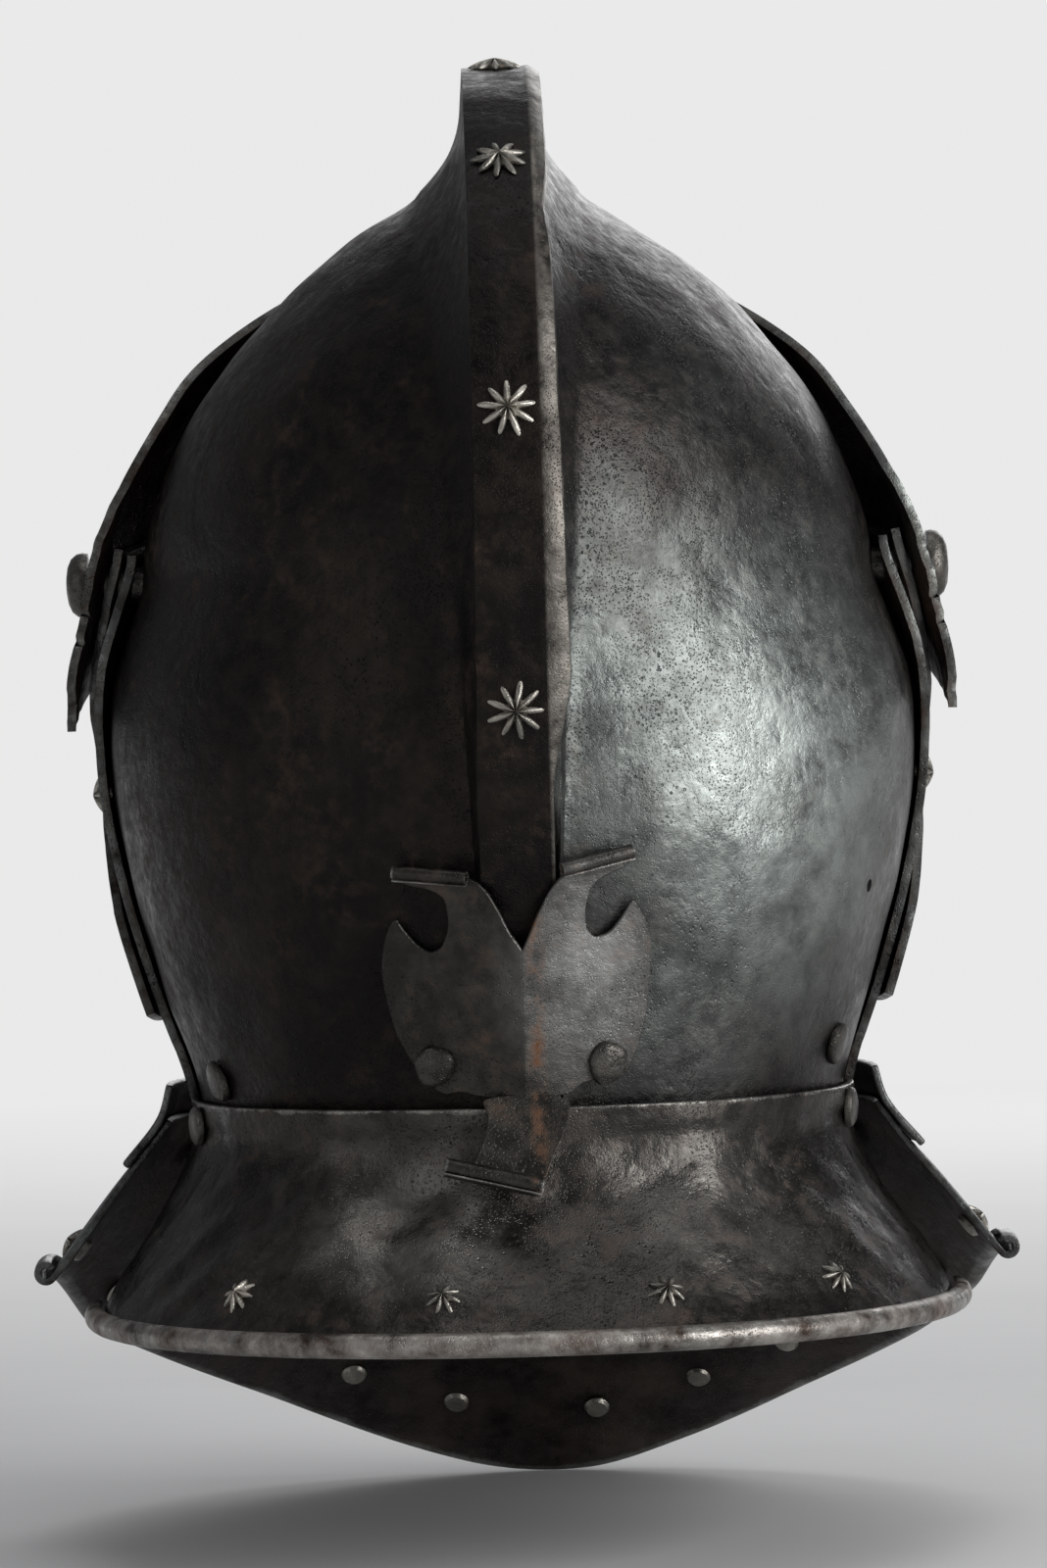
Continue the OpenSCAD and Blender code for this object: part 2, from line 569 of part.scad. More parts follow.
nape_stars = [-131, -100, -74, -46];
front_stars = [5, 21, 38, 54, 68, 82, 98, 112, 126, 142, 159, 175];
lame_rivets = [24, 60, 120, 156];
function lame_grip(a) = abs(a - 90) < 45 ? 12.5 : 11.9;
function gorget_grip(a) = abs(a - 90) < 45 ? 10.5 : 9;
module nape_star_spots() { for (a = nape_stars) on_collar(nape_at, 0.8, a) children(); }
module front_star_spots() { for (a = front_stars) on_collar(front_at, 0.84, a) children(); }
module at_lame_rivet(a) { on_collar(lame_at, 0.22, a) children(); }
module lame_rivet_spots() { for (a = lame_rivets) at_lame_rivet(a) children(); }
module at_gorget_rivet(a) { on_collar(lame_at, 0.8, a) children(); }
module gorget_rivet_spots() { for (a = lame_rivets) at_gorget_rivet(a) children(); }

module nape_plate() {
    color(worn) difference() {
        collar(nape_at, 0, -180, 34, 7, 6, gorget_t);
        nape_star_spots() hole();
        join_spots() hole();
    }
}
module nape_joining_rivets() {
    color(worn) {
        join_spots() rivet(skull_t + gorget_t + 1.4, 1) flat_head();
        corner_spots() rivet(skull_t + 0.9, 0.3) flat_head();
    }
}
module nape_rosette_rivets() {
    color(bronze) nape_star_spots() rivet(gorget_t + 0.4, 0.15) star_head(rosette_d, 8);
}
module gorget_front() {
    color(iron) difference() {
        collar(front_at, -4, 184, 36, 7, 6, gorget_t);
        front_star_spots() hole();
        gorget_rivet_spots() hole();
    }
}
module gorget_rosette_rivets() {
    color(bronze) front_star_spots() rivet(gorget_t + 0.4, 0.45) star_head(rosette_d, 8);
}
module neck_lame() {
    color(iron) difference() {
        collar(lame_at, -6, 186, 32, 4, 0, gorget_t);
        lame_rivet_spots() hole();
        gorget_rivet_spots() hole();
    }
}
module neck_lame_rivets() {
    color(worn) {
        for (a = lame_rivets) at_lame_rivet(a) rivet(lame_grip(a), 1.2) flat_head(6);
        for (a = lame_rivets) at_gorget_rivet(a) rivet(gorget_grip(a), 0.9) flat_head(6);
    }
}

skull_left();
skull_right();
comb_star_rivets();
plume_holder();
plume_holder_rivets();
nape_plate();
nape_joining_rivets();
nape_rosette_rivets();
bevor();
bevor_rosette_rivets();
neck_lame();
neck_lame_rivets();
gorget_front();
gorget_rosette_rivets();
ventail();
ventail_peg();
visor();
visor_peg();
pivot_rivet(-1);  // pivot_rivet_left
pivot_burr(-1);  // pivot_burr_left
pivot_rivet(1);  // pivot_rivet_right
pivot_burr(1);  // pivot_burr_right
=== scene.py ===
import bmesh
import bpy
import json
import math
import numpy as np
from mathutils import Matrix, Vector


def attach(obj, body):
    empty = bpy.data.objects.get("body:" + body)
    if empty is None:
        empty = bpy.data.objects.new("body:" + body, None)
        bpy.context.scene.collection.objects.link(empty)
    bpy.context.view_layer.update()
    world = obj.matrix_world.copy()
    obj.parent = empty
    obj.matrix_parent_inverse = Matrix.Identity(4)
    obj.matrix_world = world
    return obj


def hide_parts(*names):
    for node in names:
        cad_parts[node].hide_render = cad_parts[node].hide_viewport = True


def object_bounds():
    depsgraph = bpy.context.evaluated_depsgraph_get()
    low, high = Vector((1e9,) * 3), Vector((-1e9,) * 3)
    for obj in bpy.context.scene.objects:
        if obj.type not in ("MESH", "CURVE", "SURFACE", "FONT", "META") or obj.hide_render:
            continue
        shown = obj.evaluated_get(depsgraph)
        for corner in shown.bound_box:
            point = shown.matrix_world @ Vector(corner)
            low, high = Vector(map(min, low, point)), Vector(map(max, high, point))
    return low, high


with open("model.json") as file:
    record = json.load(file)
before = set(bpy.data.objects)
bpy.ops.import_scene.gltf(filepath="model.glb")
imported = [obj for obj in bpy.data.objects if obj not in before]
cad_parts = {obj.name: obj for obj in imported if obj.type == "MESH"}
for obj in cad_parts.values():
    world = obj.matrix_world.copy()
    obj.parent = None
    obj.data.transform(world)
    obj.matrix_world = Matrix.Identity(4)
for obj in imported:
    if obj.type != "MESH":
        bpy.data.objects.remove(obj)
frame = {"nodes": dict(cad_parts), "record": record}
cad_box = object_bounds()

# ---- The surfaces of the part's source in millimetres, on finer grids; two plates' ears end lower ----

SKULL_T = 3.2
COMB_HALF = 8.3
NECK_DROP = 141
PLATE_T = 2.2
BEVOR_KEEL = 147
NEST_STEP = 3.3
SKULL_GAP = 1.1
GORGET_T = 1.8
NAPE_H = 46.5
NAPE_HALF = 113
ROLL_D = 6
POINT_DROP = 243
DOME_HALF = 92.5


def smooth(t, x):
    """A smooth curve through the points of a table, held beyond its ends."""
    xs = np.array([p[0] for p in t], float)
    ys = np.array([p[1] for p in t], float)
    n = len(xs)
    m = np.empty(n)
    m[0] = (ys[1] - ys[0]) / (xs[1] - xs[0])
    m[-1] = (ys[-1] - ys[-2]) / (xs[-1] - xs[-2])
    m[1:-1] = (ys[2:] - ys[:-2]) / (xs[2:] - xs[:-2])
    x = np.asarray(x, float)
    i = np.clip(np.searchsorted(xs, x, side="right") - 1, 0, n - 2)
    h = xs[i + 1] - xs[i]
    s = np.clip((x - xs[i]) / h, 0, 1)
    return (ys[i] * (1 + 2 * s) * (1 - s) ** 2 + m[i] * h * s * (1 - s) ** 2
            + ys[i + 1] * s * s * (3 - 2 * s) - m[i + 1] * h * s * s * (1 - s))


WIDTH_Z = [[-136, 80.3], [-124, 83], [-103, 90], [-78, 97], [-56, 101], [-38, 102], [-27, 101],
           [-14, 97], [0, 92.5], [12, 92.5]]
DOME_A = [[0, 108], [30, 107], [47, 104], [65, 99.5], [90, 98], [113, 98.6], [131, 100.5], [147, 103],
          [180, 105]]
COMB_A = [[30, 120], [50, 123.5], [70, 127], [90, 128.5], [120, 127], [150, 123.5], [180, 120]]
DOME_Z = [[-136, 87.5], [-115, 91.5], [-90, 98.5], [-50, 104.5], [0, 105]]
COMB_Z = [[-136, 89.5], [-115, 93], [-90, 101.5], [-50, 112.5], [0, 120]]
FRONT_Z = [[-136, 67], [-100, 82], [-60, 96], [0, 108]]


def sind(a):
    return np.sin(np.radians(a))


def cosd(a):
    return np.cos(np.radians(a))


def angle(z, y):
    return np.degrees(np.arctan2(z, y))


def dome_x(y, z, k):
    """Half width of the skull's dome, drawn in by k."""
    a = angle(z, y)
    c = cosd(a) ** 2
    q = np.minimum(1, np.hypot(y, z) / (smooth(DOME_A, np.maximum(0, a)) - k))
    up = (DOME_HALF - k) * np.power(1 - np.power(q, 1.7 + 0.15 * c), 0.62 - 0.06 * c)
    b = np.where(y < 0, smooth(DOME_Z, z), smooth(FRONT_Z, z)) - k
    q = np.minimum(1, np.abs(y) / b)
    w = np.clip(-z / 70, 0, 1)
    low = (smooth(WIDTH_Z, z) - k) * np.power(1 - np.power(q, 1.85 + 0.35 * w), 0.56 - 0.1055 * w)
    return np.where(z >= 0, up, low)


COMB_ROOT = 20


def comb_x(y, z, k):
    """Half width of the comb, drawn in by k."""
    r = np.where(z >= 0, np.hypot(y, z), np.abs(y))
    a = angle(z, y)
    rc = np.where(z >= 0, smooth(COMB_A, a), smooth(COMB_Z, z)) - k
    rd = np.where(z >= 0, smooth(DOME_A, np.maximum(a, 0)), smooth(DOME_Z, z)) - k
    e = np.where(r < rd, 1, np.maximum(0, 1 - (r - rd) / COMB_ROOT))
    x = COMB_HALF - k + 0.07 * np.maximum(0, rc - r) + 9.5 * np.minimum(1, (rc - rd) / 26) * e * e
    return np.where(((y > 0) & (z < 45)) | (r > rc + 1), 0, x)


def skull_x(y, z, k=0):
    """Half width of dome and comb together."""
    y, z = np.broadcast_arrays(np.asarray(y, float), np.asarray(z, float))
    return np.power(dome_x(y, z, k) ** 3 + comb_x(y, z, k) ** 3, 1 / 3)


BROW_A = 33
REAR_U = 0.68


def comb_point(u, k):
    """The comb's outline from the brow, u 0, over the top to the neck, u 1, drawn in by k."""
    u = np.asarray(u, float)
    a = BROW_A + (180 - BROW_A) * np.minimum(u, REAR_U) / REAR_U
    r = smooth(COMB_A, a) - k
    z = -NECK_DROP * np.maximum(u - REAR_U, 0) / (1 - REAR_U)
    top = u < REAR_U
    return np.where(top, r * cosd(a), k - smooth(COMB_Z, z)), np.where(top, r * sind(a), z)


EDGE_Z = [[-136, 17], [-100, 23], [-60, 27], [0, 28], [25, 30], [55, 37]]


def edge_point(u):
    """The skull's edge beside the face, from top to bottom."""
    z = 52 - (52 + NECK_DROP) * np.power(u, 0.8)
    return smooth(EDGE_Z, z), z


ROWS = 170
COLS = 84
LAP = SKULL_T + 0.4
LIP_DEPTH = 5.4
US = np.linspace(0, 1, ROWS + 1)


def skull_grid(k, d):
    """The right half from its face edge to the comb, drawn in by k, and by d along the comb."""
    u = US[:, None]
    v = np.power(np.linspace(1, 0, COLS + 1), 1.35)[None, :]
    cy, cz = comb_point(u, d if np.isscalar(d) else d[:, None])
    ey, ez = edge_point(u)
    y = cy + (ey - cy) * v
    z = cz + (ez - cz) * v
    return np.stack([skull_x(y, z, k), y, z], -1)


def face_points(x, d):
    """A column of points along the comb, at x and a depth d under its outline."""
    cy, cz = comb_point(US, d)
    return np.stack([np.broadcast_to(x, US.shape), cy, cz], -1)[:, None, :]


def turned(u):
    """How much of the comb's edge is turned over, from 0 where it is low to 1 where it stands up."""
    y, z = comb_point(u, 0)
    rise = np.where(z >= 0, np.hypot(y, z) - smooth(DOME_A, np.maximum(0, angle(z, y))),
                    smooth(COMB_Z, z) - smooth(DOME_Z, z))
    return np.clip((rise - 4) / 7, 0, 1)


def mirrored(g):
    return g * np.array([-1, 1, 1])


def flank():
    y, z = comb_point(US, LIP_DEPTH)
    return skull_x(y, z) - COMB_HALF


def skull_left_grids():
    w = np.maximum(0, 2 * turned(US) - 1)
    f = flank()
    outer = np.concatenate([mirrored(skull_grid(0, 0)),
                            face_points(0, 0),
                            face_points(COMB_HALF - 2.2, 0),
                            face_points(COMB_HALF, -0.35 * w),
                            face_points(COMB_HALF + 0.15 + (f + 2.2) * w, 0.6 + 0.8 * w),
                            face_points(COMB_HALF + 0.2 + (f + 2.6) * w, 2.6 + (LIP_DEPTH - 2.6) * w)], 1)
    inner = np.concatenate([mirrored(skull_grid(SKULL_T, SKULL_T)),
                            face_points(0, SKULL_T),
                            face_points(COMB_HALF - 3.6 + 1.4 * w, SKULL_T),
                            face_points(COMB_HALF - 1.4 + 1.4 * w, SKULL_T),
                            face_points(COMB_HALF - 0.6 + (f + 1.6) * w, SKULL_T - 0.1 + 0.1 * w),
                            face_points(COMB_HALF - 0.2 + (f + 1.3) * w, 2.9 + (LIP_DEPTH - 3) * w)], 1)
    return outer, inner


def skull_right_grids():
    s = np.minimum(1, 2 * turned(US))
    d = 0.5 + (LAP - 0.5) * s
    tail = 2 - COMB_HALF + SKULL_T
    outer = np.concatenate([skull_grid(0, d),
                            face_points(COMB_HALF + 0.5 - 0.4 * s, np.maximum(d, LAP - 0.1)),
                            face_points(tail, LAP)], 1)
    inner = np.concatenate([skull_grid(SKULL_T, LAP + SKULL_T),
                            face_points(COMB_HALF - SKULL_T, LAP + SKULL_T + 0.05),
                            face_points(tail, LAP + SKULL_T)], 1)
    return outer, inner


# Face plates: each has its place in the nest, its turn in degrees, and its keel as angles and radii
KEEL_MITER = 1.25
PROW_HALF = 92
PROW_BLEND = 12
EAR_LOW = 9
EAR_RISE = 36
VISOR_CLOSE = 0.8
BEVOR = [0, 30, [[-90, BEVOR_KEEL], [0, BEVOR_KEEL]]]
VENTAIL = [1, 45, [[-90, BEVOR_KEEL], [20, BEVOR_KEEL]]]
VISOR = [2, 60, [[-20, BEVOR_KEEL], [12, BEVOR_KEEL], [28, 142], [45, 132], [60, 132]]]


def eased(s):
    t = np.clip(s, 0, 1)
    return t * t * (3 - 2 * t)


def offset_at(plan, z):
    """How far a plate lies outside the swept skull; the visor's sides close in on it higher up."""
    base = plan[0] * NEST_STEP
    return base - ((base - VISOR_CLOSE) * eased((z - EAR_LOW) / EAR_RISE) if plan[0] == 2 else 0 * z)


def plate_x(plan, y, z):
    """Half width of the skull, swept through the plate's turn, and of the prow, blended."""
    r = np.hypot(y, z)
    a = angle(z, y)
    turns = [a + plan[1] * i / 4 for i in range(5)]
    swept = np.max([skull_x(r * cosd(b), r * sind(b)) for b in turns], 0) + SKULL_GAP
    q = np.minimum(1, r / smooth(plan[2], a))
    s = eased((a - 8) / 30)
    prow = PROW_HALF * np.power(1 - np.power(q, 2.2 - 0.5 * s), 0.8 + 0.1 * s)
    return (swept + prow + np.sqrt((swept - prow) ** 2 + PROW_BLEND)) / 2


def plate_normal(plan, y, z):
    h = 0.8
    gy = (plate_x(plan, y + h, z) - plate_x(plan, y - h, z)) / (2 * h)
    gz = (plate_x(plan, y, z + h) - plate_x(plan, y, z - h)) / (2 * h)
    n = np.stack([np.ones_like(gy), -gy, -gz], -1)
    return n / np.linalg.norm(n, axis=-1, keepdims=True)


def plate_point(plan, y, z, d):
    """A point d mm out from a plate's inner face."""
    y = np.asarray(y, float)
    z = np.asarray(z, float)
    surface = np.stack([plate_x(plan, y, z), y, z], -1)
    return surface + (offset_at(plan, z) + d)[..., None] * plate_normal(plan, y, z)


def keel_point(plan, a, k):
    r = smooth(plan[2], a) - k
    return np.stack([r * cosd(a), r * sind(a)], -1)


def path(p, s):
    """A smooth path through points p, at s from 0 to 1."""
    k = np.linspace(0, 1, len(p))
    return np.stack([smooth(list(zip(k, [q[i] for q in p])), s) for i in (0, 1)], -1)


PLATE_COLS = 62
PLATE_ROWS = 56


def plate_sheet(plan, keel, rear, low, high, ragged):
    """Outer and inner grid of a plate between the angles of its keel, its rear, lower and upper edge."""
    js = np.arange(-PLATE_COLS, PLATE_COLS + 1)
    u = np.power(np.abs(js) / PLATE_COLS, 1.4)[None, :] + 0 * np.zeros((PLATE_ROWS + 1, 1))
    v = np.linspace(0, 1, PLATE_ROWS + 1)[:, None] + 0 * u
    k = keel_point(plan, keel[0] + (keel[1] - keel[0]) * v, 0)
    k0 = keel_point(plan, np.array(float(keel[0])), 0)
    k1 = keel_point(plan, np.array(float(keel[1])), 0)
    lo = path([k0] + low + [rear[0]], u)
    hi = path([k1] + high + [rear[-1]], u)
    r = path(rear, v)
    r0 = np.array(rear[0], float)
    r1 = np.array(rear[-1], float)
    u3, v3 = u[..., None], v[..., None]
    q = ((1 - v3) * lo + v3 * hi + (1 - u3) * k + u3 * r - (1 - u3) * (1 - v3) * k0 - u3 * (1 - v3) * r0
         - (1 - u3) * v3 * k1 - u3 * v3 * r1)
    q = q + ragged(np.sign(js)[None, :] + 0 * u, u, v)
    side = np.where(js < 0, -1, 1)[None, :]
    grids = []
    for t in (PLATE_T, 0):
        p = plate_point(plan, q[..., 0], q[..., 1], t)
        p[..., 0] *= side
        rise = KEEL_MITER * (offset_at(plan, q[:, PLATE_COLS, 1]) + t)
        mid = keel_point(plan, keel[0] + (keel[1] - keel[0]) * v[:, 0], -rise)
        p[:, PLATE_COLS, 0] = 0
        p[:, PLATE_COLS, 1:] = mid
        grids.append(p)
    return grids


# Collars: points by height h, from 0 at the top to 1 at the lower edge, and angle a
RING_POWER = 0.909
CURL_TURN = 265
LAME_TOP = -127
LAME_H = 20


def ring(w, b, a):
    c, s = cosd(a), sind(a)
    return w * np.sign(c) * np.abs(c) ** RING_POWER, b * np.sign(s) * np.abs(s) ** RING_POWER


NAPE_SIDE = [[0, 83.8], [0.2, 83.7], [0.45, 90], [0.72, 100], [1, NAPE_HALF - 4.5]]
NAPE_REAR = [[0, 92.8], [0.2, 92.4], [0.45, 98], [0.72, 108.5], [1, 122]]
NAPE_TOP = 10
FRONT_SIDE = [[0, 90.5], [0.25, 98], [0.5, 106], [1, 121]]
FRONT_FORE = [[0, 77], [0.25, 86], [0.5, 104], [1, 146]]
FRONT_LEVEL = -136
END_LEVEL = -174
FRONT_EDGE = [[-1, 0], [-0.93, 0.28], [-0.54, 0.68], [-0.14, 0.96], [0.13, 1], [0.36, 0.88], [0.58, 0.7],
              [0.85, 0.42], [0.96, 0.2], [1, 0]]
LAME_SIDE = [[0, 90.4], [0.45, 93.3], [1, 102.2]]
LAME_FORE = [[0, 86], [0.4, 81.5], [1, 87]]


def nape_at(h, a):
    x, y = ring(smooth(NAPE_SIDE, h), smooth(NAPE_REAR, h), a)
    return np.stack(np.broadcast_arrays(x, y, NAPE_TOP - NECK_DROP - (NAPE_H + NAPE_TOP - 2) * h), -1)


def front_at(h, a):
    x, y = ring(smooth(FRONT_SIDE, h), smooth(FRONT_FORE, h), a)
    low = END_LEVEL - (POINT_DROP + END_LEVEL) * smooth(FRONT_EDGE, ring(1, 1, a)[0])
    return np.stack(np.broadcast_arrays(x, y, FRONT_LEVEL + (low - FRONT_LEVEL) * h), -1)


def lame_at(h, a):
    x, y = ring(smooth(LAME_SIDE, h), smooth(LAME_FORE, h), a)
    return np.stack(np.broadcast_arrays(x, y, LAME_TOP - LAME_H * h), -1)


def unit(v):
    return v / np.linalg.norm(v, axis=-1, keepdims=True)


def down_of(f, h, a):
    g = np.minimum(h, 0.98)
    return unit(f(g + 0.02, a) - f(g, a))


def outward(f, h, a):
    n = unit(np.cross(f(h, a + 1) - f(h, a - 1), down_of(f, h, a)))
    p = f(h, a)
    s = np.where(n[..., 0] * p[..., 0] + n[..., 1] * p[..., 1] < 0, -1, 1)
    return n * s[..., None]


def collar_grids(f, start, end, cols, flare, curl, t, shape=None):
    """Outer and inner grid of a collar, its lower edge rolled outwards in curl steps."""
    a = np.linspace(start, end, cols + 1)[None, :] + np.zeros((flare + 1, 1))
    h = np.linspace(0, 1, flare + 1)[:, None] + 0 * a
    n = outward(f, h, a)
    p = f(h, a)
    if shape:
        p = p + n * shape(h, a, p)[..., None]
    grids = [p, p - t * n]
    if curl:
        nn, dd, p1 = n[-1], down_of(f, h[-1], a[-1]), p[-1]
        out = []
        for k, g in zip((0, t), grids):
            r = ROLL_D / 2 - t + k
            extra = []
            for i in range(1, curl + 1):
                turn = CURL_TURN * i / curl
                extra.append(p1 + (ROLL_D / 2 - t) * nn + r * (sind(turn) * dd - cosd(turn) * nn))
            out.append(np.concatenate([g, np.array(extra)], 0))
        grids = out
    if end < start:
        grids = [g[:, ::-1] for g in grids]
    return grids


# ---- Mesh building ----

def placed(name, data):
    obj = bpy.data.objects.new(name, data)
    bpy.context.scene.collection.objects.link(obj)
    return obj


WAVE_COUNT = 14


def waves(p, seed, size):
    """A smooth uneven field from -1 to 1 over points p in mm, with features of about the given size."""
    rng = np.random.RandomState(seed)
    total = np.zeros(p.shape[:-1])
    for _ in range(WAVE_COUNT):
        d = rng.normal(size=3)
        d = d / np.linalg.norm(d) * (2 * math.pi / size) * rng.uniform(0.6, 1.5)
        total += np.sin(p @ d + rng.uniform(0, 6.28))
    return total / WAVE_COUNT * 2.2


def grid_normals(g):
    du = np.gradient(g, axis=0)
    dv = np.gradient(g, axis=1)
    n = np.cross(du, dv)
    return n / np.maximum(np.linalg.norm(n, axis=-1, keepdims=True), 1e-9)


def sheet_mesh(name, outer, inner, material, edge_width=7.0, bevel=0.5, rolled=0):
    """A sheet of metal between two grids, with rounded rims; 'rim' grows from 0 to 1 towards its edges."""
    rows, cols = outer.shape[:2]
    n = rows * cols
    pts = np.concatenate([outer.reshape(-1, 3), inner.reshape(-1, 3)]) / 1000
    i = np.arange(rows - 1)[:, None] * cols + np.arange(cols - 1)[None, :]
    i = i.reshape(-1)
    top = np.stack([i, i + 1, i + cols + 1, i + cols], 1)
    low = np.stack([n + i, n + i + cols, n + i + cols + 1, n + i + 1], 1)
    r = np.arange(rows - 1) * cols
    e = r + cols - 1
    left = np.stack([r, r + cols, n + r + cols, n + r], 1)
    right = np.stack([e + cols, e, n + e, n + e + cols], 1)
    c = np.arange(cols - 1)
    f = n - cols + c
    front = np.stack([c + 1, c, n + c, n + c + 1], 1)
    back = np.stack([f, f + 1, n + f + 1, n + f], 1)
    faces = np.concatenate([top, low, left, right, front, back])
    area = np.cross(outer[1:, :-1] - outer[:-1, :-1], outer[:-1, 1:] - outer[:-1, :-1])
    lean = np.sum(area * (outer[:-1, :-1] - inner[:-1, :-1]))
    if lean > 0:
        faces = faces[:, ::-1]
    mesh = bpy.data.meshes.new(name)
    mesh.from_pydata(pts.tolist(), [], faces.tolist())
    mesh.update()
    # Distance along the sheet to its nearest rim, in mm
    down = np.linalg.norm(np.diff(outer, axis=0), axis=-1)
    across = np.linalg.norm(np.diff(outer, axis=1), axis=-1)
    du = np.concatenate([[0 * outer[0, :, 0]], np.cumsum(down, 0)])
    dv = np.concatenate([[0 * outer[:, 0, 0]], np.cumsum(across.T, 0)]).T
    near = np.minimum(np.minimum(du, du[-1] - du), np.minimum(dv, dv[:, -1:] - dv))
    if rolled:
        near = np.minimum(near, np.maximum(0, du[-1 - rolled] - du - 0.5))
    rim = np.clip(1 - near / edge_width, 0, 1).reshape(-1)
    inside = np.concatenate([np.zeros(n), np.ones(n)])
    for key, data in (("rim", np.concatenate([rim, rim])), ("inside", inside)):
        att = mesh.attributes.new(key, "FLOAT", "POINT")
        att.data.foreach_set("value", data.astype(np.float32))
    mesh.shade_smooth()
    obj = placed(name, mesh)
    obj.data.materials.append(material)
    if bevel:
        m = obj.modifiers.new("rounded rims", "BEVEL")
        m.width = bevel / 1000
        m.segments = 2
        m.limit_method = "ANGLE"
        m.angle_limit = math.radians(55)
        m.harden_normals = False
        apply_modifiers(obj)
    obj.data.set_sharp_from_angle(angle=math.radians(60))
    return obj


def apply_modifiers(obj):
    deps = bpy.context.evaluated_depsgraph_get()
    final = obj.evaluated_get(deps)
    mesh = bpy.data.meshes.new_from_object(final, preserve_all_data_layers=True, depsgraph=deps)
    obj.modifiers.clear()
    obj.data = mesh


def cut(obj, cutters):
    """Cuts closed solids out of the piece."""
    for c in cutters:
        m = obj.modifiers.new("cut", "BOOLEAN")
        m.operation = "DIFFERENCE"
        m.solver = "EXACT"
        m.object = c
    apply_modifiers(obj)
    for c in cutters:
        bpy.data.objects.remove(c, do_unlink=True)
    obj.data.set_sharp_from_angle(angle=math.radians(50))


def inside_out(mesh):
    """Whether a closed mesh has its faces turned inwards."""
    bm = bmesh.new()
    bm.from_mesh(mesh)
    volume = bm.calc_volume(signed=True)
    bm.free()
    return volume < 0


def solid(name, rings, material):
    """A closed surface through rings of points in mm, with caps at both ends."""
    rings = np.array(rings, float)
    k, m = rings.shape[:2]
    pts = rings.reshape(-1, 3) / 1000
    faces = []
    for i in range(k - 1):
        for j in range(m):
            a, b = i * m + j, i * m + (j + 1) % m
            faces.append((a, b, b + m, a + m))
    faces.append(tuple(range(m))[::-1])
    faces.append(tuple((k - 1) * m + j for j in range(m)))
    mesh = bpy.data.meshes.new(name)
    mesh.from_pydata(pts.tolist(), [], faces)
    mesh.update()
    if inside_out(mesh):
        mesh.flip_normals()
    mesh.shade_smooth()
    obj = placed(name, mesh)
    if material:
        obj.data.materials.append(material)
    return obj


def join(name, objs):
    """One piece out of several, with its origin at the frame's origin."""
    pts, faces, base = [], [], 0
    rims, insides = [], []
    material = objs[0].data.materials[0]
    for o in objs:
        m = o.data
        pts += [tuple(v.co) for v in m.vertices]
        faces += [tuple(base + i for i in p.vertices) for p in m.polygons]
        base += len(m.vertices)
        for key, keep in (("rim", rims), ("inside", insides)):
            data = np.zeros(len(m.vertices), np.float32)
            if key in m.attributes:
                m.attributes[key].data.foreach_get("value", data)
            keep.append(data)
        bpy.data.objects.remove(o, do_unlink=True)
    mesh = bpy.data.meshes.new(name)
    mesh.from_pydata(pts, [], faces)
    mesh.update()
    for key, keep in (("rim", rims), ("inside", insides)):
        att = mesh.attributes.new(key, "FLOAT", "POINT")
        att.data.foreach_set("value", np.concatenate(keep))
    mesh.shade_smooth()
    mesh.set_sharp_from_angle(angle=math.radians(42))
    obj = placed(name, mesh)
    obj.data.materials.append(material)
    return obj


# ---- Materials ----

def rgb(r, g, b):
    return (r, g, b, 1)


